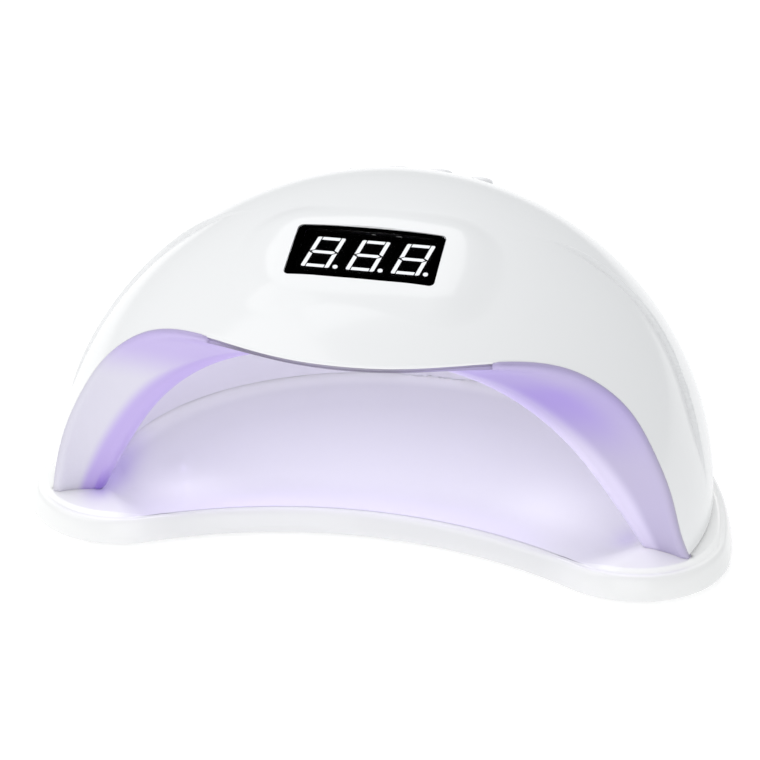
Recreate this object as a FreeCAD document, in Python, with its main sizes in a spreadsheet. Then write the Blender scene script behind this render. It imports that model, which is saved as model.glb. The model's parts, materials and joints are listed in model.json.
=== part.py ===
"""Dome-shaped UV LED nail curing lamp: a lamp head that lifts off a shallow base tray.

All lengths are in millimetres. Sub-parts are drawn from the line that joins the two front
feet of the hood: X to the right, Y to the back, Z up from the table. Every sub-part then
moves back by front_feet_y, so that the row's origin is at the middle of the footprint.
"""
import FreeCAD, Part
import math
import os
import Sketcher
from FreeCAD import Placement, Rotation, Vector

doc = FreeCAD.newDocument("NailLamp")
sheet = doc.addObject("Spreadsheet::Sheet", "dims")

DIMENSIONS = {
    # whole object
    "front_feet_y": -45.8,        # where the front feet stand, in the row's frame
    "foot_level": 9.5,            # top of the tray's plateau, which the head rests on
    "parting_gap": 0.5,           # the head's shells end this far above the plateau
    # outer dome: a leaning ellipsoid
    "dome_half_width": 98.3,
    "dome_long_radius": 96.5,
    "dome_short_radius": 85.1,
    "dome_lean": 40.9,            # degrees, about X
    "dome_centre_y": 24.7,
    "wall": 2.4,
    # front mouth and its flared band
    "mouth_half_width": 94.6,
    "mouth_height": 64.7,
    "seam": 0.35,
    "band_thickness": 2.0,
    "band_flare": 2.6,
    "ridge_half_width": 81.8,
    "ridge_height": 62.0,
    "ridge_y": 3.5,
    "ridge_slope": -0.3,
    # curing chamber
    "chamber_half_width": 84.0,
    "chamber_front": 180.0,
    "chamber_back": 76.0,
    "chamber_height": 66.0,
    "liner_wall": 2.0,
    "led_hole_radius": 3.5,
    "lens_radius": 3.35,
    "chip_side": 3.5,
    "chip_height": 0.9,
    "strip_gap": 0.2,
    "strip_thickness": 1.2,
    "strip_width": 12.0,
    # display
    "window_y": 2.4,
    "window_z": 83.6,             # above the foot level
    "window_tilt": 19.6,
    "window_width": 42.0,
    "window_length": 20.4,
    "window_thickness": 1.5,
    "window_corner": 1.6,
    "bezel_margin": 2.4,
    "bezel_depth": 4.4,
    "bezel_flare": 6.0,
    "digit_pitch": 12.7,
    "digit_height": 12.2,
    "digit_width": 7.8,
    "segment_width": 1.1,
    "module_width": 37.8,
    "module_length": 18.8,
    "module_height": 8.0,
    # buttons
    "button_pitch": 12.5,
    "panel_y": 80.0,              # the buttons' row, behind the crown
    "panel_tilt": 31.8,           # how far the row's surface slopes down to the back
    "button_radius": 4.0,
    "button_clearance": 0.25,
    "button_proud": 1.25,
    "button_flange_radius": 4.9,
    "button_flange": 0.9,
    "button_travel": 0.8,
    "switch_height": 3.5,
    "plunger_height": 0.9,
    # boards
    "board_thickness": 1.6,
    "control_board_width": 60.0,
    "control_board_length": 24.0,
    "control_board_depth": 14.8,  # underside, below the shell's surface
    "driver_board_width": 36.0,
    "driver_board_height": 20.0,
    # power inlet
    "jack_z": 23.5,
    "jack_face_y": 116.2,
    "jack_bore": 2.85,
    "jack_bore_depth": 9.5,
    "jack_pin_radius": 1.0,
    "jack_pin_length": 8.5,
    "jack_body_radius": 4.0,
    "jack_flange_radius": 5.6,
    "jack_length": 13.0,
    # ring under the head
    "ring_thickness": 1.8,
    "screw_radius": 1.3,
    "screw_head_radius": 2.4,
    "magnet_radius": 3.0,
    "magnet_height": 2.0,
    # base tray
    "tray_underside": 1.2,
    "tray_rim_top": 7.8,
    "tray_floor": 5.6,
    "tray_centre_y": 14.0,
    "tray_back": 108.8,
    "lobe_radius": 29.0,
    "lobe_x": 76.3,
    "bay_radius": 125.0,          # the concave front edge
    "rim_inset": 3.5,
    "crest_inset": 4.1,           # the crest of the bay, from its edge
    "tray_skin": 2.0,
    "floor_half_width": 79.0,
    "floor_back": 71.0,
    "lip_length": 21.0,
    "plate_thickness": 1.4,
    "pad_radius": 6.0,
    "screw_head": 0.9,
    # hand sensor
    "sensor_radius": 1.5,
    "sensor_y": 45.0,
}

for row, (alias, value) in enumerate(DIMENSIONS.items(), 1):
    sheet.set(f"A{row}", alias)
    sheet.set(f"B{row}", str(value))
    sheet.setAlias(f"B{row}", alias)
doc.recompute()


def dim(alias):
    return float(sheet.get(alias))


subparts = []
FEET_Y = "dims.front_feet_y"


def formula(text):
    """Turn bare aliases in a text such as 'wall * 2' into references to the sheet."""
    words = text.replace("(", " ( ").replace(")", " ) ").split()
    return " ".join("dims." + word if word in DIMENSIONS else word for word in words)


def place(obj, at=("0", "0", "0"), turn=None, in_row=True):
    """Put an object at a bound position. in_row adds the row's shift along Y."""
    obj.Placement = Placement(Vector(), turn or Rotation())
    x, y, z = (formula(value) for value in at)
    obj.setExpression("Placement.Base.x", x)
    obj.setExpression("Placement.Base.y", f"{y} + {FEET_Y}" if in_row else y)
    obj.setExpression("Placement.Base.z", z)
    return obj


def primitive(kind, name, at=("0", "0", "0"), turn=None, in_row=True, **sizes):
    obj = doc.addObject("Part::" + kind, name)
    for key, text in sizes.items():
        obj.setExpression(key, formula(text))
    return place(obj, at, turn, in_row)


def centred_box(name, width, length, height, at, turn=None, in_row=True):
    """A box whose underside is centred on a point; the sizes are formulas."""
    box = primitive("Box", name + "_block", (f"( {width} ) / -2", f"( {length} ) / -2", "0"),
                    in_row=False, Length=width, Width=length, Height=height)
    return group(name, [box], at, turn, in_row)


def group(name, members, at=("0", "0", "0"), turn=None, in_row=True):
    """Several solids as one object with a placement of its own."""
    obj = doc.addObject("Part::Compound", name)
    obj.Links = members
    return place(obj, at, turn, in_row)


def fuse(name, shapes):
    obj = doc.addObject("Part::MultiFuse", name)
    obj.Shapes = shapes
    return obj


def cut(name, base, tool):
    obj = doc.addObject("Part::Cut", name)
    obj.Base, obj.Tool = base, tool
    return obj


def common(name, first, second):
    obj = doc.addObject("Part::Common", name)
    obj.Base, obj.Tool = first, second
    return obj


def plain_feature(name, shape):
    """A shape made with Part's own functions, to be placed by the caller."""
    obj = doc.addObject("Part::Feature", name)
    obj.Shape = shape
    return obj


def feature(name, shape):
    """A shape made with Part's own functions, drawn from the front feet line."""
    return place(plain_feature(name, shape))


def subpart(obj, node):
    obj.Label = node
    subparts.append(obj)
    return obj


def half_space(name, z_low):
    """A block that keeps everything above a height."""
    return primitive("Box", name, ("-150", "-150", z_low), Length="300", Width="400",
                     Height="200")


def tilted(width_shift=0.0, length_shift=0.0, lift=0.0):
    """Placement on the display's tilted plane, from the centre of the window's face."""
    turn = Rotation(Vector(1, 0, 0), dim("window_tilt"))
    centre = Vector(0, dim("window_y"), dim("foot_level") + dim("window_z"))
    return Placement(centre + turn.multVec(Vector(width_shift, length_shift, lift)), turn)


def on_display(obj, lift=0.0):
    """Lay an object that was drawn about its own origin on the display's plane."""
    spot = tilted(lift=lift)
    obj.Placement = spot
    obj.setExpression("Placement.Base.y", f"{spot.Base.y:.4f} + {FEET_Y}")
    return obj


# ---------------------------------------------------------------- outlines and curves

def dome(name, inset):
    """The leaning ellipsoid of the outer dome, or one inset from it."""
    return primitive("Ellipsoid", name, ("0", "dome_centre_y", "foot_level"),
                     Rotation(Vector(1, 0, 0), dim("dome_lean")),
                     Radius1=f"dome_short_radius - ( {inset} )",
                     Radius2=f"dome_half_width - ( {inset} )",
                     Radius3=f"dome_long_radius - ( {inset} )",
                     Angle1="-90", Angle2="90", Angle3="360")


def dome_point(x, z):
    """The point on the front of the outer dome at a given width and height."""
    lean = math.radians(dim("dome_lean"))
    long_r, short_r = dim("dome_long_radius"), dim("dome_short_radius")
    height = z - dim("foot_level")
    cos_l, sin_l = math.cos(lean), math.sin(lean)
    a = (cos_l / long_r) ** 2 + (sin_l / short_r) ** 2
    b = 2 * height * sin_l * cos_l * (1 / long_r ** 2 - 1 / short_r ** 2)
    c = (x / dim("dome_half_width")) ** 2 + (height * sin_l / long_r) ** 2
    c += (height * cos_l / short_r) ** 2 - 1
    root = math.sqrt(max(b * b - 4 * a * c, 0.0))
    return Vector(x, dim("dome_centre_y") + (-b - root) / (2 * a), z)


def dome_reach(start, direction):
    """How far a line from inside the dome runs before it meets the outer surface."""
    lean = math.radians(dim("dome_lean"))

    def scaled(v):
        along = v.y * math.cos(lean) + v.z * math.sin(lean)
        across = v.z * math.cos(lean) - v.y * math.sin(lean)
        return Vector(v.x / dim("dome_half_width"), along / dim("dome_long_radius"),
                      across / dim("dome_short_radius"))

    p = scaled(start - Vector(0, dim("dome_centre_y"), dim("foot_level")))
    d = scaled(direction)
    half_b = p.dot(d)
    return (math.sqrt(half_b ** 2 - d.dot(d) * (p.dot(p) - 1)) - half_b) / d.dot(d)


def panel_turn():
    """Rotation from upright to the normal of the shell under the row of buttons."""
    return Rotation(Vector(1, 0, 0), -dim("panel_tilt"))


def panel_point(across, along, height):
    """A point by its place on the buttons' sloping panel and its height over the shell."""
    y, low = dim("panel_y"), dim("foot_level")
    roof = low + dome_reach(Vector(0, y, low), Vector(0, 0, 1))
    return Vector(0, y, roof) + panel_turn().multVec(Vector(across, along, height))


def on_panel(obj, across=0.0, along=0.0, height=0.0):
    """Stand an object that was drawn upright about its own origin on the panel."""
    spot = panel_point(across, along, height)
    return place(obj, (f"{spot.x:.4f}", f"{spot.y:.4f}", f"{spot.z:.4f}"), panel_turn())


# Front view of the mouth and of the inner ridge: share of the half width, share of the height.
MOUTH_SHAPE = [(1.0, 0.0), (0.973, 0.144), (0.936, 0.34), (0.877, 0.535), (0.803, 0.706),
               (0.719, 0.828), (0.613, 0.924), (0.476, 0.983), (0.317, 1.0), (0.159, 1.0),
               (0.0, 1.0)]
RIDGE_SHAPE = [(1.0, 0.0), (0.945, 0.135), (0.874, 0.303), (0.797, 0.473), (0.716, 0.616),
               (0.63, 0.735), (0.532, 0.835), (0.41, 0.919), (0.275, 0.973), (0.134, 0.995),
               (0.0, 1.0)]


def mouth_outline(inset=0.0):
    """Right half of the mouth, from the foot to the crown, as points on the dome."""
    half, rise = dim("mouth_half_width") - inset, dim("mouth_height") - inset
    return [dome_point(half * u, dim("foot_level") + rise * v) for u, v in MOUTH_SHAPE]


def ridge_outline():
    """Right half of the inner ridge, which lies in a plane that leans forward."""
    half, rise = dim("ridge_half_width"), dim("ridge_height")
    return [Vector(half * u, dim("ridge_y") + dim("ridge_slope") * rise * v,
                   dim("foot_level") + rise * v) for u, v in RIDGE_SHAPE]


def mirrored(half):
    """Both halves of an outline that is symmetric about X = 0."""
    left = [Vector(-p.x, p.y, p.z) for p in half[:-1]]
    return half + left[::-1]


def smooth(points):
    curve = Part.BSplineCurve()
    curve.interpolate(points)
    return curve.toShape()


def mouth_cutter():
    """Prism along Y with the mouth's front view, which opens the dome's front."""
    front = -90.0
    arch = [Vector(p.x, front, p.z) for p in mirrored(mouth_outline())]
    low = Vector(0, 0, -20)
    sill = Part.makePolygon([arch[-1], arch[-1] + low, arch[0] + low, arch[0]])
    face = Part.Face(Part.Wire([smooth(arch)] + sill.Edges))
    return face.extrude(Vector(0, dim("ridge_y") - front, 0))


def band_solid():
    """Flared band from the mouth's edge back to the ridge, lofted around the arch."""
    outer = mirrored(mouth_outline(dim("seam")))
    inner = mirrored(ridge_outline())
    count = len(outer)
    base = dim("foot_level") + dim("parting_gap")
    stations = []
    for i in range(count):
        across = inner[i] - outer[i]
        along = outer[min(i + 1, count - 1)] - outer[max(i - 1, 0)]
        normal = along.cross(across)
        if i in (0, count - 1):
            normal.z = 0
        normal.normalize()
        if normal.dot(Vector(0, 1, 1)) < 0:
            normal = normal * -1
        back = normal * dim("band_thickness")
        middle = (outer[i] + inner[i]) * 0.5 + normal * dim("band_flare") * 0.5
        front = [outer[i], middle, inner[i]]
        if i in (0, count - 1):
            front = [Vector(p.x, p.y, base) for p in front]
        rear = [p + back for p in front]
        edges = [smooth(front), Part.makeLine(front[-1], rear[-1]), smooth(rear[::-1]),
                 Part.makeLine(rear[0], front[0])]
        stations.append(Part.Wire(edges))
    return Part.makeLoft(stations, True, False)


def bay_centre_y():
    """Y of the bay arc's centre, from which it meets both lobes smoothly."""
    reach = dim("lobe_radius") + dim("bay_radius")
    return dim("tray_centre_y") - math.sqrt(reach ** 2 - dim("lobe_x") ** 2)


def tray_outline(inset, z):
    """Plan of the tray: an ellipse behind, two round lobes and a concave bay in front."""
    lobe, bay = dim("lobe_radius") - inset, dim("bay_radius") + inset
    lobe_x, lobe_y = dim("lobe_x"), dim("tray_centre_y")
    bay_y = bay_centre_y()
    share = bay / (bay + lobe)
    touch = Vector(lobe_x * share, bay_y + (lobe_y - bay_y) * share, z)
    side = Vector(lobe_x + lobe, lobe_y, z)
    tip = Vector(lobe_x + lobe * math.sin(0.3), lobe_y - lobe * math.cos(0.3), z)
    ellipse = Part.Ellipse(Vector(0, lobe_y + dim("tray_back") - inset, z),
                           Vector(-side.x, lobe_y, z), Vector(0, lobe_y, z))
    left_touch, left_side, left_tip = (Vector(-p.x, p.y, p.z) for p in (touch, side, tip))
    curves = [Part.ArcOfEllipse(ellipse, -math.pi / 2, math.pi / 2),
              Part.Arc(left_side, left_tip, left_touch),
              Part.Arc(left_touch, Vector(0, bay_y + bay, z), touch),
              Part.Arc(touch, tip, side)]
    return Part.Wire([curve.toShape() for curve in curves])


def tray_slab(inset_low, inset_high, low, high):
    """A slab of the tray's plan whose side leans from one inset to another."""
    return Part.makeLoft([tray_outline(inset_low, low), tray_outline(inset_high, high)],
                         True, True)


# ---------------------------------------------------------------- base tray

PAD_SPOTS = [(68, 4), (-68, 4), (60, 82), (-60, 82)]
TRAY_SCREW_SPOTS = [(86, 1), (-86, 1), (90, 48), (-90, 48), (0, 107)]
MAGNET_SPOTS = [(90, 20), (-90, 20), (58, 90), (-58, 90)]


def cylinders(name, spots, radius, height, z, in_row=True):
    """Equal upright cylinders at a list of spots, as one object."""
    members = [primitive("Cylinder", f"{name}_{i}", (str(x), str(y), z), in_row=in_row,
                         Radius=radius, Height=height)
               for i, (x, y) in enumerate(spots, 1)]
    return group(name, members, in_row=False)


def screws(name, spots, z_face, length, up=1):
    """Pan-head screws whose heads sit on a face; up is the direction of the shank."""
    solids = []
    for x, y in spots:
        foot = Vector(x, y, z_face)
        axis = Vector(0, 0, up)
        head = Part.makeCylinder(dim("screw_head_radius"), dim("screw_head"), foot, axis * -1)
        shank = Part.makeCylinder(dim("screw_radius"), length, foot, axis)
        slot = Part.makeBox(0.5, 2.6, 0.5, Vector(x - 0.25, y - 1.3, z_face - up * 0.65 - 0.25))
        slot.translate(Vector(0, 0, -up * 0.2))
        solids.append(head.fuse(shank).cut(slot).removeSplitter())
    return feature(name, Part.makeCompound(solids))


def floor_prism(margin):
    """Upright prism over the tray's floor, widened by a margin."""
    half, back = dim("floor_half_width") + margin, dim("floor_back") + margin
    centre_y, front, top = dim("dome_centre_y"), -dim("lobe_radius") - margin, 40.0
    bulge = Part.Ellipse(Vector(half, centre_y, 0), Vector(0, centre_y + back, 0),
                         Vector(0, centre_y, 0))
    rear = Part.ArcOfEllipse(bulge, 0, math.pi).toShape()
    sides = Part.makePolygon([Vector(-half, centre_y, 0), Vector(-half, front, 0),
                              Vector(half, front, 0), Vector(half, centre_y, 0)])
    return Part.Face(Part.Wire([rear] + sides.Edges)).extrude(Vector(0, 0, top))


def floor_space():
    """Space over the tray's floor, which deepens from the bay's crest to the flat floor."""
    crest, top, far = dim("bay_radius") + dim("crest_inset"), 40.0, 300.0
    floor, rim = dim("tray_floor"), dim("tray_rim_top")
    profile = [Vector(crest, 0, rim), Vector(crest + dim("lip_length"), 0, floor),
               Vector(far, 0, floor), Vector(far, 0, top), Vector(crest, 0, top)]
    ring = Part.Face(Part.makePolygon(profile + profile[:1])).revolve(
        Vector(), Vector(0, 0, 1), 360)
    ring.translate(Vector(0, bay_centre_y(), 0))
    return ring.common(floor_prism(0))


def bay_prism():
    """Upright cylinder through the bay, which lowers the plateau to the crest there."""
    radius = dim("bay_radius") + dim("crest_inset")
    return Part.makeCylinder(radius, 40, Vector(0, bay_centre_y(), 0))


def make_tray():
    """The moulded tray, its bottom plate, pads, magnets and screws."""
    low, rim, level = dim("tray_underside"), dim("tray_rim_top"), dim("foot_level")
    inset, skin = dim("rim_inset"), dim("tray_skin")
    plateau_inset = inset + 1.4
    rim_slab = tray_slab(0.0, inset * 0.6, low, rim)
    plateau = tray_slab(inset * 0.9, plateau_inset, rim - 1, level)
    crest = floor_prism(0).common(bay_prism())
    crest.translate(Vector(0, 0, rim))
    body = rim_slab.fuse(plateau.cut(crest)).cut(floor_space())
    low_hollow = tray_slab(skin + 0.6, skin + 0.6, low - 1, dim("tray_floor") - skin)
    high_hollow = tray_slab(plateau_inset + skin, plateau_inset + skin, low, level - skin)
    body = body.cut(low_hollow).cut(high_hollow.cut(floor_prism(skin)))
    shell = feature("tray_shell", body)
    bosses = cylinders("tray_boss", TRAY_SCREW_SPOTS, "screw_head_radius",
                       "foot_level - tray_skin - tray_underside - plate_thickness + 0.2",
                       "tray_underside + plate_thickness")
    cups = cylinders("magnet_cup", MAGNET_SPOTS, "magnet_radius + 1.2", "magnet_height + 0.2",
                     "foot_level - tray_skin - magnet_height")
    sockets = cylinders("magnet_socket", MAGNET_SPOTS, "magnet_radius + 0.05", "magnet_height",
                        "foot_level - tray_skin - magnet_height")
    pilots = cylinders("tray_pilot", TRAY_SCREW_SPOTS, "screw_radius", "5.6", "tray_underside")
    drilled = cut("tray_drilled", fuse("tray_filled", [shell, bosses, cups]),
                  group("tray_holes", [sockets, pilots], in_row=False))
    subpart(drilled, "tray_top")
    plate = feature("tray_plate_blank",
                    tray_slab(skin + 0.9, skin + 0.9, low, low + dim("plate_thickness")))
    holes = cylinders("plate_hole", TRAY_SCREW_SPOTS, "screw_radius + 0.2", "6",
                      "tray_underside - 1")
    subpart(cut("tray_plate_drilled", plate, holes), "tray_bottom_plate")
    subpart(cylinders("tray_pads", PAD_SPOTS, "pad_radius", "tray_underside", "0"),
            "rubber_feet")
    subpart(cylinders("tray_magnet_set", MAGNET_SPOTS, "magnet_radius", "magnet_height",
                      "foot_level - tray_skin - magnet_height"), "tray_magnets")
    subpart(screws("tray_screw_set", TRAY_SCREW_SPOTS, low, 5.6), "tray_screws")


# ---------------------------------------------------------------- outer housing

SENSOR_COLUMNS = (-3.0, 3.0)
BOARD_HOLES = [(-26.5, -8.5), (26.5, -8.5), (-26.5, 8.5), (26.5, 8.5)]
RING_SCREW_SPOTS = [(92.6, 34), (-92.6, 34), (78, 71), (-78, 71), (24, 107.9), (-24, 107.9)]
BUTTON_COLUMNS = [-1.5, -0.5, 0.5, 1.5]
BUTTON_SECONDS = [10, 30, 60, 99]


def round_rectangle(width, length, radius, z):
    """A closed outline with rounded corners, centred on the origin."""
    tile = Part.makeBox(width, length, 1, Vector(-width / 2, -length / 2, z))
    upright = [e for e in tile.Edges if abs(e.tangentAt(e.FirstParameter).z) > 0.9]
    rounded = tile.makeFillet(radius, upright)
    floor = min(rounded.Faces, key=lambda face: face.CenterOfMass.z)
    return floor.OuterWire


def window_blank(name, margin, low, high, radius, flare=0.0):
    """A round-cornered tile about the display window, wider at its foot by the flare."""
    width = dim("window_width") + 2 * margin
    length = dim("window_length") + 2 * margin
    outlines = [round_rectangle(width + 2 * flare, length + 2 * flare, radius + flare, low),
                round_rectangle(width, length, radius, high)]
    return on_display(plain_feature(name, Part.makeLoft(outlines, True, True)))


def make_housing():
    """Outer dome shell with its mouth, display recess, button holes and screw bosses."""
    outer, inner = dome("dome_outer", "0"), dome("dome_inner", "wall")
    level = "foot_level + parting_gap"
    margin, thick = dim("bezel_margin"), dim("bezel_depth")
    bezel = window_blank("window_bezel", margin, -thick, 0.0, 3.0, dim("bezel_flare"))
    bosses = cylinders("ring_boss", RING_SCREW_SPOTS, "screw_head_radius + 0.6", "12",
                       "foot_level + ring_thickness + parting_gap")
    bosses_inside = common("ring_boss_trimmed", bosses, dome("dome_for_bosses", "0.1"))
    shell = cut("dome_shell", outer, inner)
    solid = fuse("housing_solid", [shell, bezel, bosses_inside])
    trimmed = common("housing_upper", solid, half_space("above_gap", level))
    mouth = feature("mouth_prism", mouth_cutter())
    recess = window_blank("window_recess", margin, 0.0, 12.0, 3.0)
    seat = window_blank("window_seat", 0.15, -dim("window_thickness") - 0.1, 1.0, 1.7)
    through = window_blank("window_opening", -0.6, -8.0, 1.0, 1.0)
    holes = [on_panel(primitive("Cylinder", f"button_hole_{i}", in_row=False, Height="30",
                                Radius="button_radius + button_clearance"),
                      column * dim("button_pitch"), 0, -15)
             for i, column in enumerate(BUTTON_COLUMNS, 1)]
    jack_hole = primitive("Cylinder", "jack_hole", ("0", "90", "jack_z"),
                          Rotation(Vector(1, 0, 0), -90), Radius="jack_body_radius + 0.1",
                          Height="60")
    jack_seat = primitive("Cylinder", "jack_seat", ("0", "jack_face_y - 0.8", "jack_z"),
                          Rotation(Vector(1, 0, 0), -90), Radius="jack_flange_radius + 0.1",
                          Height="30")
    pilots = cylinders("ring_pilot", RING_SCREW_SPOTS, "screw_radius", "8",
                       "foot_level + ring_thickness")
    vents = [primitive("Box", f"vent_slot_{i}", (f"{x} - 1", "90", "42"),
                       Length="2", Width="60", Height="14")
             for i, x in enumerate(range(-28, 29, 8), 1)]
    tools = group("housing_openings", [mouth, recess, seat, through, jack_hole, jack_seat,
                                       pilots] + holes + vents, in_row=False)
    return subpart(cut("housing", trimmed, tools), "outer_housing")


# ---------------------------------------------------------------- inner liner and LEDs

STRIP_ROWS = {"front": 11.0, "middle": 34.0, "rear": 58.0}
LED_ANGLES = [-77, -55, -33, -11, 11, 33, 55, 77]


def chamber(name, outset):
    """The curing chamber's arched vault: two half ellipsoids that share one arch."""
    halves = []
    for side, depth, turn in (("back", "chamber_back", 0), ("front", "chamber_front", 180)):
        halves.append(primitive("Ellipsoid", f"{name}_{side}",
                                ("0", "dome_centre_y", "foot_level"),
                                Rotation(Vector(0, 0, 1), turn),
                                Radius1=f"chamber_height + {outset}",
                                Radius2=f"chamber_half_width + {outset}",
                                Radius3=f"{depth} + {outset}",
                                Angle1="0", Angle2="90", Angle3="180"))
    return fuse(name, halves)


def led_frames():
    """Centre on the chamber's wall and outward direction of each LED."""
    frames = []
    half, rise = dim("chamber_half_width"), dim("chamber_height")
    for row_y in STRIP_ROWS.values():
        offset = row_y - dim("dome_centre_y")
        depth = dim("chamber_back") if offset > 0 else dim("chamber_front")
        scale = math.sqrt(1 - (offset / depth) ** 2)
        for angle in LED_ANGLES:
            turn = math.radians(angle)
            x, z = half * scale * math.sin(turn), rise * scale * math.cos(turn)
            normal = Vector(x / half ** 2, offset / depth ** 2, z / rise ** 2)
            normal.normalize()
            frames.append((Vector(x, row_y, z + dim("foot_level")), normal))
    return frames


def behind_ridge(name):
    """A block behind the ridge's leaning plane, 1 mm inside the band."""
    lean = math.degrees(math.atan(-dim("ridge_slope")))
    block = doc.addObject("Part::Box", name)
    block.Length, block.Width, block.Height = 300, 200, 200
    turn = Rotation(Vector(1, 0, 0), lean)
    base = Vector(0, dim("ridge_y") + 1.0, dim("foot_level")) + turn.multVec(
        Vector(-150, 0, -50))
    block.Placement = Placement(base, turn)
    block.setExpression("Placement.Base.y", f"{base.y:.4f} + {FEET_Y}")
    return block


def make_liner(housing):
    """White liner: the vault over the hand with its LED holes, and the flared band."""
    vault = cut("vault_shell", chamber("vault_outer", "liner_wall"), chamber("vault_inner", "0"))
    vault_rear = common("vault_rear", vault, behind_ridge("vault_trim"))
    vault_up = common("vault_upper", vault_rear, half_space(
        "above_ring", "foot_level + parting_gap + ring_thickness"))
    band = feature("band", band_solid())
    joined = fuse("liner_solid", [vault_up, band])
    reach = dim("liner_wall") + 6
    holes = [Part.makeCylinder(dim("led_hole_radius"), reach, spot - normal * 3, normal)
             for spot, normal in led_frames()]
    sensor = [Part.makeCylinder(dim("sensor_radius") + 0.1, 20, Vector(x, dim("sensor_y"), 66))
              for x in SENSOR_COLUMNS]
    tool = feature("liner_holes", Part.makeCompound(holes + sensor))
    fitted = cut("liner_inside_housing", joined, housing)
    subpart(cut("liner", fitted, tool), "inner_liner")
    spots = led_frames()
    wall, lens_r = dim("liner_wall"), dim("lens_radius")
    lenses, chips = [], []
    for spot, normal in spots:
        stalk = Part.makeCylinder(lens_r, wall - 0.95, spot - normal * 0.05, normal)
        bulge = Part.makeSphere(lens_r * 1.25, spot + normal * lens_r * 0.75)
        cap = bulge.common(Part.makeCylinder(lens_r, 8, spot - normal * 8, normal))
        lenses.append(stalk.fuse(cap).removeSplitter())
        side = dim("chip_side")
        chip = Part.makeBox(side, side, dim("chip_height"), Vector(-side / 2, -side / 2, 0))
        turn = Rotation(Vector(0, 0, 1), normal)
        chip.Placement = Placement(spot + normal * (wall - 0.8), turn)
        chips.append(chip)
    subpart(feature("lens_set", Part.makeCompound(lenses)), "led_lenses")
    subpart(feature("chip_set", Part.makeCompound(chips)), "led_chips")
    for row, y in STRIP_ROWS.items():
        name = f"strip_{row}"
        skin = cut(name + "_skin",
                   chamber(name + "_top", "liner_wall + strip_gap + strip_thickness"),
                   chamber(name + "_under", "liner_wall + strip_gap"))
        slice_box = primitive("Box", name + "_slice",
                              ("-150", f"{y} - strip_width / 2", "foot_level + 6"),
                              Length="300", Width="strip_width", Height="100")
        subpart(common(name, skin, slice_box), f"led_strip_{row}")


# ---------------------------------------------------------------- ring under the head

def make_ring():
    """Flat ring that closes the head's underside between the housing and the liner."""
    level = dim("foot_level") + 0.1
    outer = dome("ring_outer", "wall + 0.05")
    solid = cut("ring_body", outer, chamber("ring_inner", "0"))
    slab = primitive("Box", "ring_slab", ("-150", "ridge_y + 3", f"{level}"),
                     Length="300", Width="300", Height="parting_gap + ring_thickness - 0.1")
    flat = common("ring_flat", solid, slab)
    seat = level + dim("screw_head")
    holes = cylinders("ring_hole", RING_SCREW_SPOTS, "screw_radius + 0.2", "20", "0")
    sinks = cylinders("ring_sink", RING_SCREW_SPOTS, "screw_head_radius + 0.1", f"{seat}", "0")
    subpart(cut("ring", flat, group("ring_holes", [holes, sinks], in_row=False)), "bottom_ring")
    top = "foot_level + parting_gap + ring_thickness"
    subpart(cylinders("head_magnet_set", MAGNET_SPOTS, "magnet_radius", "magnet_height", top),
            "head_magnets")
    subpart(screws("ring_screw_set", RING_SCREW_SPOTS, seat, 8.0), "ring_screws")


# ---------------------------------------------------------------- display

def segment_outline(length, width):
    """Long hexagon of one bar of a seven-segment digit, lying along X."""
    half, tip = length / 2, width / 2
    points = [Vector(-half, 0, 0), Vector(-half + tip, -tip, 0), Vector(half - tip, -tip, 0),
              Vector(half, 0, 0), Vector(half - tip, tip, 0), Vector(-half + tip, tip, 0)]
    return Part.Face(Part.makePolygon(points + points[:1]))


def slanted(shape):
    """Lean a digit to the right, as seven-segment digits do."""
    matrix = FreeCAD.Matrix()
    matrix.A12 = math.tan(math.radians(10))
    return shape.transformGeometry(matrix)


def lit_digits():
    """Three digits of seven bars each, every digit with its decimal point."""
    width, height = dim("digit_width"), dim("digit_height")
    bar, bars = dim("segment_width"), []
    span_x, span_y = width - bar, (height - bar) / 2
    for digit in (-1, 0, 1):
        centre = Vector(digit * dim("digit_pitch") + 0.8, 0.7, 0)
        spots = [(0, y * span_y, 0) for y in (-1, 0, 1)]
        spots += [(x * span_x / 2, y * span_y / 2, 90) for x in (-1, 1) for y in (-1, 1)]
        for x, y, turn in spots:
            length = (span_x if turn == 0 else span_y) - 0.3
            face = segment_outline(length, bar)
            face.rotate(Vector(), Vector(0, 0, 1), turn)
            face.translate(Vector(x, y, 0))
            face = slanted(face)
            face.translate(centre)
            bars.append(face.extrude(Vector(0, 0, 0.15)))
        point = centre + Vector(width / 2 + 0.4, -height / 2 + 0.6, 0)
        bars.append(Part.makeCylinder(0.7, 0.15, point))
    return Part.makeCompound(bars)


def make_display():
    """Smoked window, three-digit module, its lit bars and the board that carries it."""
    gap = 0.3
    window = window_blank("window", 0.0, -dim("window_thickness"), 0.0, dim("window_corner"))
    subpart(window, "display_window")
    depth = dim("window_thickness") + gap
    width, length, height = dim("module_width"), dim("module_length"), dim("module_height")
    block = Part.makeBox(width, length, height, Vector(-width / 2, -length / 2, 0))
    module = plain_feature("module", block)
    subpart(on_display(module, -depth - height), "display_module")
    bars = plain_feature("bars", lit_digits())
    subpart(on_display(bars, -depth + 0.02), "lit_segments")
    thick = dim("board_thickness")
    board = Part.makeBox(44, 19.4, thick, Vector(-22, -9.7, 0))
    display_board = plain_feature("display_board_blank", board)
    subpart(on_display(display_board, -depth - height - thick), "display_board")


# ---------------------------------------------------------------- buttons and control board

def sketch_on(body, name, role):
    """An empty sketch on one of the body's own origin planes."""
    sketch = body.newObject("Sketcher::SketchObject", name)
    plane = [f for f in body.Origin.OriginFeatures if f.Role == role][0]
    sketch.AttachmentSupport = [(plane, "")]
    sketch.MapMode = "FlatFace"
    return sketch


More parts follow.
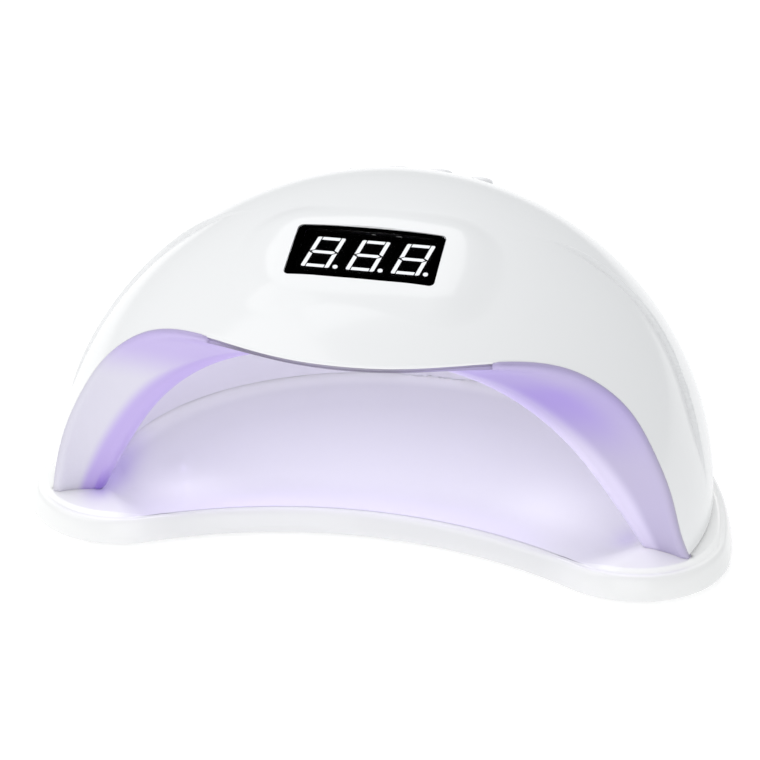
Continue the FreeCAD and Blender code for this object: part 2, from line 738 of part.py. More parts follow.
def draw_closed(sketch, points):
    """A closed run of lines with shared corners."""
    count = len(points)
    lines = [Part.LineSegment(points[i], points[(i + 1) % count]) for i in range(count)]
    first = sketch.addGeometry(lines, False)[0]
    for i in range(count):
        sketch.addConstraint(Sketcher.Constraint(
            "Coincident", first + i, 2, first + (i + 1) % count, 1))
    return first


def board_face():
    """Height of the control board's upper face on the panel, where the shell is at 0."""
    return dim("board_thickness") - dim("control_board_depth")


def button_cap(seconds, column):
    """One round cap with a flange that keeps it in the housing: a revolved profile."""
    stem_end = board_face() + 0.1
    stem_end += dim("switch_height") + dim("plunger_height") + dim("button_travel")
    x = dim("button_pitch") * column
    foot = panel_point(x, 0, stem_end)
    top = dome_reach(foot, panel_turn().multVec(Vector(0, 0, 1))) + dim("button_proud")
    flange_low = 0.6
    body = doc.addObject("PartDesign::Body", f"cap_body_{seconds}")
    sketch = sketch_on(body, f"cap_profile_{seconds}", "XZ_Plane")
    radius, flange_radius = dim("button_radius"), dim("button_flange_radius")
    flange_high = flange_low + dim("button_flange")
    points = [(0, 0), (1.7, 0), (1.7, flange_low), (flange_radius, flange_low),
              (flange_radius, flange_high), (radius, flange_high), (radius, top), (0, top)]
    first = draw_closed(sketch, [Vector(u, v, 0) for u, v in points])
    bound = [("DistanceX", first + 3, 2, flange_radius, "button_flange_radius"),
             ("DistanceX", first + 5, 2, radius, "button_radius")]
    for kind, line, point, value, alias in bound:
        index = sketch.addConstraint(Sketcher.Constraint(kind, -1, 1, line, point, value))
        sketch.setExpression(f"Constraints[{index}]", f"dims.{alias}")
    turned = body.newObject("PartDesign::Revolution", f"cap_turned_{seconds}")
    turned.Profile = sketch
    turned.ReferenceAxis = (sketch, ["V_Axis"])
    turned.Angle = 360
    doc.recompute()
    rim = [f"Edge{i}" for i, e in enumerate(turned.Shape.Edges, 1)
           if e.Closed and abs(e.BoundBox.ZMin - top) < 0.01 and e.BoundBox.ZLength < 0.01]
    rounded = body.newObject("PartDesign::Fillet", f"cap_rounded_{seconds}")
    rounded.Base = (turned, rim)
    rounded.Radius = 1.2
    return on_panel(body, x, 0, stem_end)


def make_buttons():
    for seconds, column in zip(BUTTON_SECONDS, BUTTON_COLUMNS):
        subpart(button_cap(seconds, column), f"button_{seconds}s")


def make_control_board():
    """Board under the buttons with its switches, controller and capacitors."""
    body = doc.addObject("PartDesign::Body", "control_board_body")
    sketch = sketch_on(body, "control_board_plan", "XY_Plane")
    half_w, half_l = dim("control_board_width") / 2, dim("control_board_length") / 2
    corners = [(-half_w, -half_l), (half_w, -half_l), (half_w, half_l), (-half_w, half_l)]
    draw_closed(sketch, [Vector(u, v, 0) for u, v in corners])
    for u, v in BOARD_HOLES:
        sketch.addGeometry(Part.Circle(Vector(u, v, 0), Vector(0, 0, 1), 1.6), False)
    pad = body.newObject("PartDesign::Pad", "control_board_pad")
    pad.Profile = sketch
    pad.setExpression("Length", "dims.board_thickness")
    subpart(on_panel(body, 0, 0, -dim("control_board_depth")), "control_board")
    face = board_face()
    switches = []
    for i, column in enumerate(BUTTON_COLUMNS, 1):
        x = f"{column * dim('button_pitch')}"
        switches.append(centred_box(f"switch_case_{i}", "6", "6", "switch_height",
                                    (x, "0", "0"), in_row=False))
        switches.append(primitive("Cylinder", f"switch_plunger_{i}",
                                  (x, "0", "switch_height"), in_row=False, Radius="1.7",
                                  Height="plunger_height"))
    subpart(on_panel(group("switch_set", switches), 0, 0, face), "tact_switches")
    chip = centred_box("controller_case", "10", "4", "1.6", ("-6", "-7", "0"), in_row=False)
    subpart(on_panel(group("controller", [chip]), 0, 0, face), "microcontroller")
    cans = [primitive("Cylinder", f"control_can_{i}", (x, "-7", "0"), in_row=False,
                      Radius="2", Height="5") for i, x in enumerate(("8", "14"), 1)]
    subpart(on_panel(group("control_cans", cans), 0, 0, face), "control_capacitors")
    posts = cylinders("board_post", BOARD_HOLES, "2.2", "5.2", "0", in_row=False)
    subpart(on_panel(posts, 0, 0, face), "board_standoffs")


# ---------------------------------------------------------------- driver board

def on_driver_board(obj):
    """Stand an object that was drawn flat upright beside the rear wall of the vault."""
    turn = Rotation(Vector(0, 0, 1), -27).multiply(Rotation(Vector(1, 0, 0), 90))
    spot = Placement(Vector(41.5, 93.0, 31.0), turn)
    obj.Placement = spot
    obj.setExpression("Placement.Base.y", f"{spot.Base.y} + {FEET_Y}")
    return obj


def make_driver():
    """LED driver board with its inductors, capacitors and power transistors."""
    width, height = dim("driver_board_width"), dim("driver_board_height")
    thick = dim("board_thickness")
    blank = Part.makeBox(width, height, thick, Vector(-width / 2, -height / 2, -thick))
    subpart(on_driver_board(plain_feature("driver_blank", blank)), "driver_board")
    coils, cans, dies = [], [], []
    for x in (-8, 1):
        coils.append(Part.makeCylinder(4.0, 4.5, Vector(x, 4.5, -thick - 4.5)))
    for x in (-11, -5, 1):
        cans.append(Part.makeCylinder(2.5, 5.5, Vector(x, -5.5, -thick - 5.5)))
    for x in (9, 15):
        dies.append(Part.makeBox(4.5, 6, 1.6, Vector(x - 2.25, -4, -thick - 1.6)))
    subpart(on_driver_board(plain_feature("coil_set", Part.makeCompound(coils))), "power_inductors")
    subpart(on_driver_board(plain_feature("can_set", Part.makeCompound(cans))), "driver_capacitors")
    subpart(on_driver_board(plain_feature("die_set", Part.makeCompound(dies))), "power_transistors")


# ---------------------------------------------------------------- hand sensor and power inlet

def make_sensor():
    """Infrared emitter and receiver that look down through the vault's roof."""
    radius, solids = dim("sensor_radius"), []
    for x in SENSOR_COLUMNS:
        roof = dim("foot_level") + dim("chamber_height") * math.sqrt(
            1 - ((dim("sensor_y") - dim("dome_centre_y")) / dim("chamber_back")) ** 2)
        centre = Vector(x, dim("sensor_y"), roof)
        solids.append(Part.makeCylinder(radius, 5, centre).fuse(
            Part.makeSphere(radius, centre)).removeSplitter())
    subpart(feature("sensor_set", Part.makeCompound(solids)), "hand_sensor")


def make_jack():
    """Round power inlet at the back: barrel, centre pin and the nut that holds it."""
    y_face = dim("jack_face_y")
    back = Vector(0, 1, 0)
    centre = Vector(0, y_face, dim("jack_z"))
    flange = Part.makeCylinder(dim("jack_flange_radius"), 1.4, centre - back * 0.8, back)
    length = dim("jack_length")
    barrel = Part.makeCylinder(dim("jack_body_radius"), length, centre - back * length, back)
    depth = dim("jack_bore_depth")
    bore = Part.makeCylinder(dim("jack_bore"), depth + 5, centre + back * (0.6 - depth), back)
    subpart(feature("jack", flange.fuse(barrel).cut(bore).removeSplitter()), "power_jack")
    pin = Part.makeCylinder(dim("jack_pin_radius"), dim("jack_pin_length"),
                            centre + back * (0.6 - depth), back)
    subpart(feature("jack_pin", pin), "jack_centre_pin")
    inside = dim("wall") + 0.9
    nut = Part.makeCylinder(5.6, 2.0, centre - back * (inside + 2.0), back)
    hole = Part.makeCylinder(dim("jack_body_radius"), 9, centre - back * 9, back)
    subpart(feature("jack_nut_blank", nut.cut(hole)), "jack_nut")


def lead(path, radius):
    """A round lead along an arc through three points."""
    arc = Part.Arc(*path)
    edge = arc.toShape()
    start, direction = edge.valueAt(edge.FirstParameter), edge.tangentAt(edge.FirstParameter)
    ring = Part.Wire([Part.makeCircle(radius, start, direction)])
    return Part.Wire([edge]).makePipeShell([ring], True, False)


def make_leads():
    """Leads from the inlet to the driver board, and from it up to the control board."""
    z = dim("jack_z")
    y = dim("jack_face_y") - dim("jack_length")
    pair = [lead((Vector(1.2, y - 0.95, z + dz), Vector(12, y - 1.15, z + 2 + dz),
                  Vector(24.2, y - 2.2, z + 5 + dz)), 0.8)
            for dz in (1.4, -1.4)]
    subpart(feature("power_lead_pair", Part.makeCompound(pair)), "power_leads")
    rise = [lead((Vector(x, 100.6, 45), Vector(x, 92, 57), Vector(x, 76.5, 70.7)), 0.7)
            for x in (22.0, 23.8, 25.6)]
    subpart(feature("board_lead_set", Part.makeCompound(rise)), "board_leads")


# ---------------------------------------------------------------- build, check and write

def check_and_write():
    doc.recompute()
    failed = [obj.Name for obj in doc.Objects
              if "Invalid" in obj.State or "Error" in obj.State]
    if failed:
        raise RuntimeError("failed objects: " + ", ".join(failed))
    for obj in subparts:
        shape = obj.Shape
        if shape.isNull() or not shape.isValid() or not shape.Solids:
            raise RuntimeError("bad shape: " + obj.Label)
    os.makedirs("parts", exist_ok=True)
    for obj in subparts:
        obj.Shape.exportStep(f"parts/{obj.Label}.step")
        box = obj.Shape.BoundBox
        print(f"{obj.Label:22s} solids {len(obj.Shape.Solids):3d}  volume "
              f"{obj.Shape.Volume:10.1f}  x {box.XMin:7.1f} {box.XMax:7.1f}  "
              f"y {box.YMin:7.1f} {box.YMax:7.1f}  z {box.ZMin:6.1f} {box.ZMax:6.1f}")


make_tray()
make_liner(make_housing())
make_ring()
make_display()
make_buttons()
make_control_board()
make_driver()
make_sensor()
make_jack()
make_leads()
check_and_write()
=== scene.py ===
"""Looks for the dome-shaped nail lamp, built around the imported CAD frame."""
import json
import math

import bmesh
import bpy
import numpy as np
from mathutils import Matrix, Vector


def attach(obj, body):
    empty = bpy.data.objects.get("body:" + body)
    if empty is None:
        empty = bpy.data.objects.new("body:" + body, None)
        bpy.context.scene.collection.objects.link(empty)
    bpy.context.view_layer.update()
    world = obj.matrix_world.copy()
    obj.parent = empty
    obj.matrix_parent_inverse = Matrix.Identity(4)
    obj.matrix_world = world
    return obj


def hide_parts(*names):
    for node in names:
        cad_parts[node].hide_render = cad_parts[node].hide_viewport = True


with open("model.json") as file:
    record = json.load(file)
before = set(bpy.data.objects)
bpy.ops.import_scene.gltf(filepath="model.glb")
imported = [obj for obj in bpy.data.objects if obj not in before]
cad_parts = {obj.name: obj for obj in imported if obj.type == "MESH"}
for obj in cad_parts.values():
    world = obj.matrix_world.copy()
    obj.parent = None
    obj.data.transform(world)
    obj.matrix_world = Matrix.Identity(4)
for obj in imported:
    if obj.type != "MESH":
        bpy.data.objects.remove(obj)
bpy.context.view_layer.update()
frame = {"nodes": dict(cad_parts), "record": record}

# ------------------------------------------------------------------ shared sizes, in mm
FEET_Y = -45.8                      # the front feet line in the row's frame
LEVEL = 9.5                         # the tray's plateau
FOOT_GAP = 0.85                     # gap under the head's edge
A, B, H = 98.3, 91.08, 90.16        # outer dome: half width, half depth, height
LEAN, DOME_Y = 0.126, 24.7          # shear to the back per mm of height, and its centre
WALL = 2.4
TILT = math.radians(19.6)           # slope of the display window
WINDOW = np.array([0.0, 2.4, LEVEL + 83.6])
WINDOW_UP = np.array([0, -math.sin(TILT), math.cos(TILT)])
WINDOW_ALONG = np.array([0, math.cos(TILT), math.sin(TILT)])
WINDOW_HALF = (20.85, 10.05)
WINDOW_CORNER = 1.6
WINDOW_CREST = 0.45                 # how far the bowed pane stands out in its middle
PANE = 0.5
DIGIT_PITCH = 12.7
DIGIT_LEVELS = (-1.78, -1.63)       # underside and top of the lit bars, under the window
MOUTH = [(0, 64.7), (15, 64.7), (30, 64.7), (45, 63.6), (58, 59.8), (68, 53.6), (76, 45.7),
         (83, 34.6), (88.5, 22), (92, 9.3), (94.6, 0)]
RIDGE = [(0, 62), (11, 61.7), (22.5, 60.3), (33.5, 57), (43.5, 51.8), (51.5, 45.6),
         (58.6, 38.2), (65.2, 29.3), (71.5, 18.8), (77.3, 8.4), (81.8, 0)]
RIDGE_Y, RIDGE_SLOPE = 3.5, 0.3     # the liner's ridge leans forward as it rises
PANEL_Y, PANEL_TILT = 80.0, math.radians(31.8)
BUTTON_X = [-18.75, -6.25, 6.25, 18.75]
BUTTON_HOLE = 4.25
JACK_Z, JACK_FACE = 23.5, 115.4
JACK_BORE, JACK_RECESS = 4.1, 5.75
VENT_PITCH, VENT_LOW, VENT_HIGH = 8, 43, 55
HALF, RISE, FRONT, BACK = 84.0, 66.0, 180.0, 76.0       # the vault's half width, height, depths
WALL_GAP = 0.12                     # gap between the vault's rear wall and the tray
LINER_WALL = 1.4
LOBE_X, LOBE_Y, LOBE_R, BAY_R = 76.3, 14.0, 29.0, 125.0
BAY_Y = LOBE_Y - math.sqrt((LOBE_R + BAY_R) ** 2 - LOBE_X ** 2)
TRAY_BACK = 108.8                   # the rear ellipse's reach behind the lobes
TRAY_BASE, TRAY_RIM, TRAY_FLOOR, TRAY_SKIN = 1.2, 7.8, 5.6, 2.0
RIM_RISE = 0.6                      # how much higher the rim is away from the bay
GROOVE = 4.2                        # the groove behind the bay's crest, from its edge
SHADOW = (0.2, 0.19, 0.22)          # tint of the gaps and grooves


def row(points):
    """Points in mm from the feet line, as metres in the row's frame."""
    out = np.array(points, float)
    out[..., 1] += FEET_Y
    return out * 0.001


def unit(v):
    """Vectors scaled to length 1."""
    return v / np.linalg.norm(v, axis=-1, keepdims=True)


def smoothstep(t):
    """A soft step from 0 at 0 to 1 at 1."""
    t = np.clip(t, 0.0, 1.0)
    return t * t * (3 - 2 * t)


def spot(x, y, at, size):
    """A soft spot in plan, 1 at its middle."""
    return np.exp(-(((x - at[0]) / size[0]) ** 2 + ((y - at[1]) / size[1]) ** 2))


def cubic(points, count):
    """A natural cubic spline through points, sampled evenly along its length."""
    p = np.array(points, float)
    t = np.concatenate([[0], np.cumsum(np.linalg.norm(np.diff(p, axis=0), axis=1))])
    n, h = len(p), np.diff(t)
    m = np.zeros((n, n))
    rhs = np.zeros((n, p.shape[1]))
    m[0, 0] = m[-1, -1] = 1
    for i in range(1, n - 1):
        m[i, i - 1:i + 2] = h[i - 1], 2 * (h[i - 1] + h[i]), h[i]
        rhs[i] = 6 * ((p[i + 1] - p[i]) / h[i] - (p[i] - p[i - 1]) / h[i - 1])
    k = np.linalg.solve(m, rhs)

    def value(s):
        i = np.clip(np.searchsorted(t, s, "right") - 1, 0, n - 2)
        a, b, w = (t[i + 1] - s)[:, None], (s - t[i])[:, None], h[i][:, None]
        return (k[i] * a ** 3 + k[i + 1] * b ** 3) / (6 * w) + (p[i] / w - k[i] * w / 6) * a \
            + (p[i + 1] / w - k[i + 1] * w / 6) * b

    dense = value(np.linspace(0, t[-1], 2000))
    run = np.concatenate([[0], np.cumsum(np.linalg.norm(np.diff(dense, axis=0), axis=1))])
    spots = np.linspace(0, run[-1], count)
    return np.stack([np.interp(spots, run, dense[:, c]) for c in range(p.shape[1])], 1)


def both_sides(half):
    """A half outline from the middle out, mirrored to a whole one from left to right."""
    left = half[::-1].copy()
    left[:, 0] *= -1
    return np.concatenate([left[:-1], half])


# ------------------------------------------------------------------ mesh helpers

def make_object(name, verts, faces, smooth=True):
    """An object of verts in metres, with its normals turned outward."""
    mesh = bpy.data.meshes.new(name)
    mesh.from_pydata(np.asarray(verts).reshape(-1, 3).tolist(), [], faces)
    mesh.validate()
    bm = bmesh.new()
    bm.from_mesh(mesh)
    bmesh.ops.remove_doubles(bm, verts=bm.verts, dist=1e-7)
    bmesh.ops.recalc_face_normals(bm, faces=bm.faces)
    bm.to_mesh(mesh)
    bm.free()
    if smooth:
        mesh.shade_smooth()
    obj = bpy.data.objects.new(name, mesh)
    bpy.context.scene.collection.objects.link(obj)
    return obj


def ring_faces(rings, count, closed=True):
    """Quads between rings of equal count, stored one after another."""
    faces = []
    last = count if closed else count - 1
    for r in range(rings - 1):
        a = r * count
        for i in range(last):
            j = (i + 1) % count
            faces.append((a + i, a + j, a + count + j, a + count + i))
    return faces


def end_fans(rings, count, start, end):
    """Triangles that close the first ring onto one point and the last ring onto another."""
    faces, last = [], (rings - 1) * count
    for i in range(count):
        j = (i + 1) % count
        faces.append((start, j, i))
        faces.append((end, last + i, last + j))
    return faces


def paint(mesh, color):
    """Store a colour for every vertex as the attribute the tinted finishes read."""
    layer = mesh.color_attributes.new("tint", "FLOAT_COLOR", "POINT")
    full = np.column_stack([color, np.ones(len(color))])
    layer.data.foreach_set("color", full.astype(np.float32).ravel())


def sharpen(obj, degrees):
    """Smooth shading, with the edges that turn more than an angle kept sharp."""
    obj.data.shade_smooth()
    obj.data.set_sharp_from_angle(angle=math.radians(degrees))


def lathe_y(profile, x, z, steps=48):
    """Rings of a solid turned about an axis along Y; profile is (radius, y) from end to end."""
    rings = []
    turn = np.linspace(0, 2 * math.pi, steps, endpoint=False)
    for radius, y in profile:
        rings.append(np.stack([x + radius * np.cos(turn), np.full(steps, y),
                               z + radius * np.sin(turn)], 1))
    return rings


def loft(rings):
    """Verts and faces of a closed solid through rings, with flat ends."""
    count = len(rings[0])
    faces = ring_faces(len(rings), count)
    faces.append(tuple(range(count))[::-1])
    end = (len(rings) - 1) * count
    faces.append(tuple(range(end, end + count)))
    return np.concatenate(rings), faces


def joined(parts):
    """Several solids as one list of verts and one of faces."""
    verts, faces, base = [], [], 0
    for v, f in parts:
        verts.append(v)
        faces += [tuple(i + base for i in face) for face in f]
        base += len(v)
    return np.concatenate(verts), faces


def carve(obj, tool):
    """Boolean difference, applied, with the tool removed."""
    mod = obj.modifiers.new("carve", "BOOLEAN")
    mod.operation = "DIFFERENCE"
    mod.solver = "MANIFOLD"
    mod.object = tool
    graph = bpy.context.evaluated_depsgraph_get()
    mesh = bpy.data.meshes.new_from_object(obj.evaluated_get(graph))
    obj.modifiers.clear()
    obj.data = mesh
    bpy.data.objects.remove(tool)


# ------------------------------------------------------------------ outer dome

def dome_at(theta, psi):
    """Outer surface by bearing from the front and by height angle."""
    z = H * np.sin(psi)
    return np.stack([A * np.cos(psi) * np.sin(theta),
                     DOME_Y + LEAN * z - B * np.cos(psi) * np.cos(theta), LEVEL + z], -1)


def dome_normal(p):
    """Outward normal of the dome at points on or near it."""
    z = p[..., 2] - LEVEL
    g = (p[..., 1] - DOME_Y - LEAN * z) / B ** 2
    return unit(np.stack([p[..., 0] / A ** 2, g, z / H ** 2 - LEAN * g], -1))


def dome_angles(p):
    """Bearing and height angle of points on or near the dome."""
    z = p[..., 2] - LEVEL
    q = unit(np.stack([p[..., 0] / A, (p[..., 1] - DOME_Y - LEAN * z) / B, z / H], -1))
    return np.arctan2(q[..., 0], -q[..., 1]), np.arcsin(np.clip(q[..., 2], -1, 1))


def dome_front(x, z):
    """Point on the front of the dome; z is above the plateau."""
    y = DOME_Y + LEAN * z - B * np.sqrt(np.maximum(1 - (x / A) ** 2 - (z / H) ** 2, 0))
    return np.stack([x, y, z + LEVEL], -1)


def dome_reach(start, direction):
    """How far a line runs before it leaves the dome's outer surface."""
    def scaled(v, y0, z0):
        z = v[..., 2] - z0
        return np.stack([v[..., 0] / A, (v[..., 1] - y0 - LEAN * z) / B, z / H], -1)
    p, d = scaled(start, DOME_Y, LEVEL), scaled(direction, 0, 0)
    half_b, dd = p @ d, d @ d
    return (np.sqrt(half_b ** 2 - dd * ((p * p).sum(-1) - 1)) - half_b) / dd


CREASE = cubic([(8, 88), (27, 83), (36.5, 74), (38, 62), (33.5, 50), (26, 39), (20, 26),
                (18, 12), (18, 0)], 200)          # (y, height) of the fold on each flank


def on_window(verts):
    """Points given across, along and out of the window's flat, from the feet line."""
    return WINDOW + verts[:, :1] * [1, 0, 0] + verts[:, 1:2] * WINDOW_ALONG \
        + verts[:, 2:] * WINDOW_UP


def window_bow(u, v):
    """How far the window's face stands out of its flat, following the dome loosely."""
    return WINDOW_CREST - WINDOW_CREST * (u ** 2 / 214 + v ** 2 / 190)


def shaped(p):
    """The dome with the fold on its flanks and the flat round the display."""
    n = dome_normal(p)
    z = p[..., 2] - LEVEL
    fold_y = np.interp(z, CREASE[::-1, 1], CREASE[::-1, 0])
    behind = (p[..., 1] - fold_y) / np.sqrt(1 + 0.35 * (z / H) ** 4)
    strength = smoothstep((84.5 - z) / 16) * smoothstep((z - 10) / 26)
    strength = strength * smoothstep((np.abs(p[..., 0]) - 28) / 24)
    front = -0.95 * np.exp(np.minimum(behind, 0) / 13.0)
    rear = 0.55 * np.exp(-np.maximum(behind, 0) / 16.0)
    step = smoothstep((behind + 0.45) / 0.9)
    p = p + n * (strength * (front * (1 - step) + rear * step))[..., None]
    d = p - WINDOW
    u, v, w = d[..., 0], d @ WINDOW_ALONG, d @ WINDOW_UP
    half_u, half_v, corner = 23.0, 12.2, 3.0          # the flat round the window
    qx = np.abs(u) - (half_u - corner)
    qy = np.abs(v) - (half_v - corner)
    gap = np.hypot(np.maximum(qx, 0), np.maximum(qy, 0)) + np.minimum(np.maximum(qx, qy), 0) \
        - corner
    reach = 8.0 + 8.0 * (u / np.hypot(u, v * 1.6 + 1e-6)) ** 2
    weight = (1 - smoothstep(gap / reach)) * (np.abs(w) < 14)
    return p - WINDOW_UP * ((w - window_bow(u, v)) * weight)[..., None]


def housing_edge():
    """The shell's closed lower edge, from the mouth's middle round the back.

    The second value runs from 0 along the mouth to 1 along the foot.
    """
    half = cubic(both_sides(np.array(MOUTH, float)), 361)[180:]
    half[0, 0] = 0
    half = half[half[:, 1] > FOOT_GAP + 0.05]
    mouth_x, mouth_z = np.array(MOUTH, float)[::-1].T
    foot = np.array([[np.interp(FOOT_GAP, mouth_z, mouth_x), FOOT_GAP]])
    half = np.concatenate([half, foot])
    mouth = dome_front(half[:, 0], half[:, 1])
    corner, low = dome_angles(mouth[-1])
    bearings = np.concatenate([
        np.linspace(corner, math.radians(80), 14)[1:],
        np.radians(np.linspace(80, 100, 56)[1:]),
        np.radians(np.linspace(100, 180, 70)[1:])])
    bottom = dome_at(bearings, np.full(len(bearings), low))
    run = np.concatenate([[0], np.cumsum(np.linalg.norm(np.diff(mouth, axis=0), axis=1))])
    kind = np.concatenate([smoothstep((run - run[-1] + 6) / 6), np.ones(len(bottom))])
    edge = np.concatenate([mouth, bottom])
    edge = np.concatenate([edge, edge[-2:0:-1] * [-1, 1, 1]])
    return edge, np.concatenate([kind, kind[-2:0:-1]])


def edge_angles(points):
    """Bearings that only rise round the shell, and height angles, of points by its edge."""
    theta, psi = dome_angles(points)
    theta = np.where(theta < -1e-9, theta + 2 * math.pi, theta)
    middle = len(theta) // 2
    theta[0], theta[middle] = 0.0, math.pi
    theta[:middle + 1] = np.maximum.accumulate(theta[:middle + 1])
    theta[middle + 1:] = 2 * math.pi - theta[1:middle][::-1]
    return theta, psi


def dome_blank():
    """The dome's shell without its holes: outer skin, rolled edge and inner skin."""
    edge, kind = housing_edge()
    along = unit(np.roll(edge, -1, 0) - np.roll(edge, 1, 0))
    n = dome_normal(edge)
    inward = unit(np.cross(n, along))
    radius = 0.75 * (1 - kind) + 0.45 * kind
    theta, psi = edge_angles(edge + inward * radius[:, None])
    outer_rows, inner_rows, lip = 150, 30, 0.95
    rings = []
    for f in np.linspace(1, 0, outer_rows + 1)[1:]:
        rings.append(shaped(dome_at(theta, psi + (math.pi / 2 - psi) * f)))
    power = 1 - 0.62 * kind
    for q in np.linspace(0, math.pi, 11)[1:]:
        side = radius * (1 - np.sin(q) ** power)
        depth = lip * (1 - np.sign(np.cos(q)) * np.abs(np.cos(q)) ** power)
        rings.append(edge + inward * side[:, None] - n * depth[:, None])
    for f in np.linspace(0, 1, inner_rows + 1)[1:-1]:
        p = dome_at(theta, psi + (math.pi / 2 - psi) * f)
        rings.append(shaped(p) - dome_normal(p) * WALL)
    top = shaped(dome_at(np.array([0.0]), np.array([math.pi / 2])))
    verts = np.concatenate(rings + [top, top - np.array([[0, 0, WALL]])])
    faces = ring_faces(len(rings), len(edge))
    faces += end_fans(len(rings), len(edge), len(verts) - 2, len(verts) - 1)
    return make_object("dome_shell", row(verts), faces)


def fillet(radius):
    """Steps of a rounded rim: how far it widens, and its height below the surface."""
    return [(radius * (1 - math.cos(a)), radius * (math.sin(a) - 1))
            for a in np.linspace(0, math.pi / 2, 6)]


def button_holes():
    """One round cutter with a rounded rim for each button, square to the sloping panel."""
    rise = np.array([0, math.sin(PANEL_TILT), math.cos(PANEL_TILT)])
    down = np.array([0, math.cos(PANEL_TILT), -math.sin(PANEL_TILT)])
    across, plumb = np.array([1.0, 0, 0]), np.array([0, 0, 1.0])
    crown = np.array([0, PANEL_Y, LEVEL])
    crown = crown + dome_reach(crown[None], plumb)[0] * plumb
    steps, rim = 64, 0.4
    turn = np.linspace(0, 2 * math.pi, steps, endpoint=False)
    holes = []
    for x in BUTTON_X:
        rings = []
        for grow, lift in [(0, None)] + fillet(rim) + [(rim, 4.0)]:
            radius = BUTTON_HOLE + grow
            foot = crown + across * x + np.outer(radius * np.cos(turn), across) \
                + np.outer(radius * np.sin(turn), down)
            reach = np.full(steps, -12.0) if lift is None else dome_reach(foot, rise) + lift
            rings.append(foot + reach[:, None] * rise)
        holes.append(loft(rings))
    return holes


def window_hole():
    """A cutter for the display window, with round corners and a rounded rim."""
    play, rim, rings = 0.3, 0.35, []
    for grow, lift in [(0, -9)] + fillet(rim) + [(rim, 5)]:
        corner = WINDOW_CORNER + grow
        spots = []
        for k, (sx, sy) in enumerate([(1, -1), (1, 1), (-1, 1), (-1, -1)]):
            for a in np.linspace(0, math.pi / 2, 8):
                a = a + (k - 1) * math.pi / 2
                spots.append((sx * (WINDOW_HALF[0] + play - WINDOW_CORNER) + corner * math.cos(a),
                              sy * (WINDOW_HALF[1] + play - WINDOW_CORNER) + corner * math.sin(a),
                              lift))
        rings.append(on_window(np.array(spots)))
    return loft(rings)


def inlet_hole():
    """A stepped round cutter for the power inlet."""
    inside, outside = 100, 130
    return loft(lathe_y([(JACK_BORE, inside), (JACK_BORE, JACK_FACE), (JACK_RECESS, JACK_FACE),
                         (JACK_RECESS, outside)], 0, JACK_Z))


def vent_holes():
    """The row of upright slots above the inlet."""
    a = np.linspace(0, math.pi, 9)
    slots = []
    for x in range(-28, 29, VENT_PITCH):
        ends = np.concatenate([np.stack([x + np.cos(a), VENT_HIGH + np.sin(a)], 1),
                               np.stack([x - np.cos(a), VENT_LOW - np.sin(a)], 1)])
        slots.append(loft([np.stack([ends[:, 0], np.full(len(ends), y), ends[:, 1]], 1)
                           for y in (90, 130)]))
    return slots


def build_housing():
    """The dome's shell with the holes for its buttons, window, inlet and vents."""
    shell = dome_blank()
    verts, faces = joined(button_holes() + [window_hole(), inlet_hole()] + vent_holes())
    carve(shell, make_object("tool", row(verts), faces, smooth=False))
    sharpen(shell, 40)
    return shell


# ------------------------------------------------------------------ liner: band, ridge and vault

def vault_at(alpha, y):
    """Point of the vault's inner wall by arch angle from the crown and by depth."""
    d = y - DOME_Y
    s = np.sqrt(np.maximum(1 - (d / np.where(d > 0, BACK, FRONT)) ** 2, 0))
    return np.stack([HALF * s * np.sin(alpha), y, LEVEL + RISE * s * np.cos(alpha)], -1)


def bezier(a, b, c, t):
    """Point of a quadratic curve from a to c, drawn towards b."""
    return a * (1 - t) ** 2 + b * 2 * t * (1 - t) + c * t ** 2


def shade(start, end, amount):
    """Mix of two colours by an amount for every vertex."""
    start, end = np.atleast_2d(start), np.atleast_2d(end)
    return start + (end - start) * amount[:, None]


def liner_painted_light_and_shade(x, height, share, behind):
    """Painted violet light and shade on the white liner, standing in for the lamps' glow.

    share runs from 0 at the band's edge to 1 at the ridge, and is negative in the seam.
    behind is the depth behind the ridge. All of it is painted light and shade: the left flank
    of the band is painted violet towards the ridge, the right one is painted greyer with a
    painted highlight along the ridge, both are painted deeper towards the crown, the wall just
    behind the left ridge gets painted violet shade, and the seam and the band under the
    shell's edge get painted shade.
    """
    # painted violet light on the left flank, spreading towards the ridge and the crown
    turn = smoothstep((share - 0.42 - 0.0052 * height) / 0.24)
    turn = np.maximum(turn, 0.78 * smoothstep((height - 41) / 14))
    left = shade((0.69, 0.67, 0.77), (0.505, 0.40, 0.77), turn)
    # painted violet shade at the foot of the left flank, by the ridge
    foot = smoothstep((share - 0.82) / 0.12) * (1 - smoothstep((height - 1) / 12))
    left = shade(left, (0.3, 0.18, 0.66), 0.85 * foot)
    # the right flank: painted violet shade deepening towards the crown
    crown = smoothstep((height - 28) / 22) * (0.45 + 0.55 * smoothstep((share - 0.1) / 0.45))
    right = shade((0.53, 0.48, 0.68), (0.42, 0.32, 0.75),
                  crown * (1 - 0.35 * smoothstep((height - 51) / 6)))
    # a painted highlight along the right flank's ridge, narrower higher up
    rise = smoothstep((height - 12) / 40)
    right = shade(right, (0.76, 0.70, 0.92), smoothstep((share - 0.55 - 0.22 * rise) / 0.24)
                  * (1 - 0.35 * crown))
    # the flanks are painted differently, as light falls on them from one side
    side = smoothstep(x / 12 + 0.5)
    band = shade(left, right, side)
    # the wall's painted light, with painted violet shade just behind the left ridge
    near = np.exp(-behind / 12) * (1 - smoothstep((height - 3) / 44)) * (1 - side)
    wall = shade((0.82, 0.80, 0.87), (0.36, 0.24, 0.72), near)
    color = np.where((behind > 0)[:, None], wall, band)
    # painted shade in the seam and on the band just under the shell's edge, by the middle
    middle = smoothstep((36 - np.abs(x + 8)) / 16) * smoothstep((0.11 - share) / 0.06)
    dark = np.maximum(0.55 * (share < 0), 0.75 * middle * (behind <= 0))
    return shade(color, SHADOW, dark)


